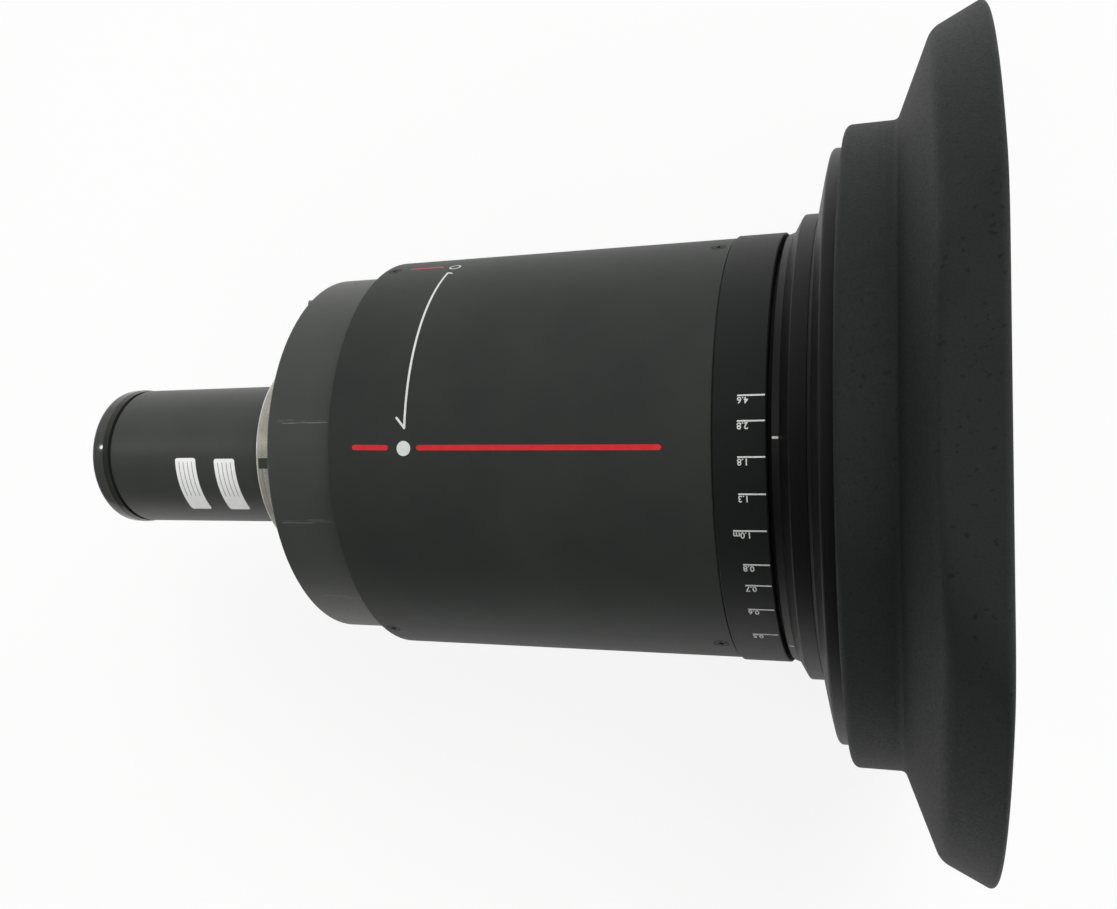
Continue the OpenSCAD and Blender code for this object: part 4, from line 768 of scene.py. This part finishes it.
# Distance scale in metres: the tick's angle in degrees, and where it starts and ends in mm
scaleRows = [
    ("4.6", -10.6, 143.8, 152.4), ("2.8", -4.8, 143.8, 152.4), ("1.8", 3.25, 143.8, 152.4),
    ("1.3", 11.6, 143.8, 152.4), ("1.0m", 20.25, 141.6, 152.1), ("0.8", 28.95, 143.8, 152.3),
    ("0.7", 34.9, 143.8, 152.2), ("0.6", 42.75, 143.6, 152.1), ("0.5", 53.1, 143.5, 152.0)]
scaleType = {"height": 2.15, "tick": 0.5, "gap": 0.45, "weight": 0.012, "smoothness": 4}
indexMarks = {"x": (154.3, 156.4), "angles": (-1.0, 60.0), "width": 0.75}
makePrint("scaleTicks", [
    axialLine((x0, x1), angle, scaleType["tick"], faceRadii["scale"])
    for _, angle, x0, x1 in scaleRows],
    roundFace("scale"), "whiteInk", "focus_ring_body", "charcoal_coat")
makePrint("scaleNumerals", [
    numeral(words, scaleType, x0, arcAt(angle, faceRadii["scale"]) + scaleType["gap"])
    for words, angle, x0, _ in scaleRows],
    roundFace("scale"), "whiteInk", "focus_ring_body", "charcoal_coat")
makePrint("indexMarks", [
    axialLine(indexMarks["x"], angle, indexMarks["width"], faceRadii["sleeve"])
    for angle in indexMarks["angles"]],
    indexFace, "whiteInk", "lens_body", "charcoal_coat")

# Two plain adhesive labels on the rear barrel, with thin grey rules on them
labelRows = [
    {"name": "labelRear", "x": (-103.5, -93.3), "angles": (3.5, 52.5)},
    {"name": "labelFront", "x": (-84.0, -73.9), "angles": (4.5, 53.0)}]
labelLook = {"corner": 1.1, "film": 0.1, "rules": 4, "ruleWidth": 0.35, "ruleShare": 0.62,
             "ruleCorner": 0.1, "ruleFilm": 0.12, "ruleStart": 1.6, "inset": 1.9}
for row in labelRows:
    x0, x1 = row["x"]
    s0, s1 = (arcAt(a, faceRadii["barrel"]) for a in row["angles"])
    middle = ((x0 + x1) / 2, (s0 + s1) / 2)
    makePrint(row["name"], [roundedPlate(s1 - s0, x1 - x0, labelLook["corner"], middle, 90.0)],
              roundFace("barrel"), "labelFilm", "lens_body", "black_anodised", labelLook["film"])
    length = (s1 - s0) * labelLook["ruleShare"]
    ruleMiddle = s0 + labelLook["ruleStart"] + length / 2
    places = np.linspace(x0 + labelLook["inset"], x1 - labelLook["inset"], labelLook["rules"])
    makePrint(row["name"] + "Rules", [
        roundedPlate(length, labelLook["ruleWidth"], labelLook["ruleCorner"], (x, ruleMiddle), 90.0)
        for x in places],
        roundFace("barrel"), "greyInk", "lens_body", "black_anodised", labelLook["ruleFilm"])
print("marks, scale and labels made")

# The floor: painted board, nearly white, with a slow faint mottle. Lengths in metres
floorLook = {
    "shades": ("#f4f4f3", "#f7f7f6"), "mottleMm": 400, "mottleSpan": (0.35, 0.65), "rough": 0.6,
    "seenGlow": 0.85,  # share of plain white for the camera, the rest keeps the shadow
    "glossGlow": (0.17, 0.36), "glossFrom": (-0.3, 0.1),  # least and most, and at which Y
    "half": 30.0, "below": 0.0003,
}


def makeFloor(look, level):
    material, tree, place = startMaterial("paleFloor")
    mottle = addNode(tree, "ShaderNodeTexNoise", {
        "Vector": place, "Scale": 1000 / look["mottleMm"], "Roughness": 0.5,
        "Detail": 3.0}).outputs[0]
    shade = addNode(tree, "ShaderNodeMapRange", {
        "Value": mottle, "From Min": look["mottleSpan"][0], "From Max": look["mottleSpan"][1],
        "To Min": 0.0, "To Max": 1.0}).outputs[0]
    tone = addNode(tree, "ShaderNodeMix", {
        0: shade, 6: linear(look["shades"][0]), 7: linear(look["shades"][1])},
        data_type="RGBA").outputs[2]
    plain = addNode(tree, "ShaderNodeBsdfDiffuse", {"Color": tone, "Roughness": look["rough"]})
    glow = addNode(tree, "ShaderNodeEmission", {"Color": (1, 1, 1, 1), "Strength": 1.0})
    path = addNode(tree, "ShaderNodeLightPath").outputs
    straight = addNode(tree, "ShaderNodeMath", {
        0: path["Is Camera Ray"], 1: path["Is Transmission Ray"]}, operation="MAXIMUM").outputs[0]
    seen = addNode(tree, "ShaderNodeMath", {0: straight, 1: look["seenGlow"]},
                   operation="MULTIPLY").outputs[0]
    # Gloss sees a floor that is darker on the -Y side, as where a dark wall stands past it
    across = addNode(tree, "ShaderNodeSeparateXYZ", {0: place}).outputs[1]
    shine = addNode(tree, "ShaderNodeMapRange", {
        "Value": across, "From Min": look["glossFrom"][0], "From Max": look["glossFrom"][1],
        "To Min": look["glossGlow"][0], "To Max": look["glossGlow"][1]}).outputs[0]
    mirrored = addNode(tree, "ShaderNodeMath", {0: path["Is Glossy Ray"], 1: shine},
                       operation="MULTIPLY").outputs[0]
    share = addNode(tree, "ShaderNodeMath", {0: seen, 1: mirrored},
                    operation="MAXIMUM").outputs[0]
    mixed = addNode(tree, "ShaderNodeMixShader", {
        0: share, 1: plain.outputs[0], 2: glow.outputs[0]})
    addNode(tree, "ShaderNodeOutputMaterial", {"Surface": mixed.outputs[0]})
    mesh = bpy.data.meshes.new("floor")
    half = look["half"]
    mesh.from_pydata([(-half, -half, level), (half, -half, level), (half, half, level),
                      (-half, half, level)], [], [(0, 1, 2, 3)])
    mesh.materials.append(material)
    floor = bpy.data.objects.new("floor", mesh)
    bpy.context.collection.objects.link(floor)


makeFloor(floorLook, cadLow.z - floorLook["below"])

# The room: white where the camera looks past the lens. For the light on the lens it is dimmer
# overhead, where the camera stands, and brighter low down, at the front and on the +Y side
roomLook = {"seen": 1.0, "level": 0.55, "x": 0.2, "y": 0.24, "z": -0.4, "least": 0.04}


def makeRoom(look):
    # Light from a direction (x, y, z) is the level plus each part times its share, and never
    # below the least
    world = bpy.data.worlds.new("studio")
    bpy.context.scene.world = world
    world.use_nodes = True
    tree = world.node_tree
    tree.nodes.clear()
    way = addNode(tree, "ShaderNodeSeparateXYZ", {
        0: addNode(tree, "ShaderNodeTexCoord").outputs["Generated"]})
    level = look["level"]
    for output, axis in zip(way.outputs, "xyz"):
        part = addNode(tree, "ShaderNodeMath", {0: output, 1: look[axis]},
                       operation="MULTIPLY").outputs[0]
        level = addNode(tree, "ShaderNodeMath", {0: level, 1: part}, operation="ADD").outputs[0]
    level = addNode(tree, "ShaderNodeMath", {0: level, 1: look["least"]},
                    operation="MAXIMUM").outputs[0]
    path = addNode(tree, "ShaderNodeLightPath").outputs
    straight = addNode(tree, "ShaderNodeMath", {
        0: path["Is Camera Ray"], 1: path["Is Transmission Ray"]}, operation="MAXIMUM").outputs[0]
    strength = addNode(tree, "ShaderNodeMix", {0: straight, 2: level, 3: look["seen"]})
    backdrop = addNode(tree, "ShaderNodeBackground", {
        "Color": (1, 1, 1, 1), "Strength": strength.outputs[0]})
    addNode(tree, "ShaderNodeOutputWorld", {"Surface": backdrop.outputs[0]})


makeRoom(roomLook)

# Square softboxes: place and edge length in metres, power in watts. Gloss sees only the small
# one, because the large ones would show as streaks on the black tubes
lamps = {
    "keyLamp": {"place": (1.0, 1.2, 1.5), "size": 1.4, "watts": 36, "mirrored": False},
    "fillLamp": {"place": (0.3, -0.6, 1.7), "size": 1.6, "watts": 10, "mirrored": False},
    "windowLamp": {"place": (-1.2, 0.3, 1.22), "size": 0.1, "watts": 1.2, "mirrored": True},
}


def softbox(name, look):
    # Looks from its place at the origin
    data = bpy.data.lights.new(name, "AREA")
    data.shape, data.energy = "RECTANGLE", look["watts"]
    data.size = data.size_y = look["size"]
    lamp = bpy.data.objects.new(name, data)
    bpy.context.collection.objects.link(lamp)
    lamp.location = look["place"]
    lamp.rotation_mode = "QUATERNION"
    lamp.rotation_quaternion = (-Vector(look["place"])).to_track_quat("-Z", "Y")
    lamp.visible_camera = False
    lamp.visible_glossy = look["mirrored"]


for name, look in lamps.items():
    softbox(name, look)
print("floor and lamps placed")
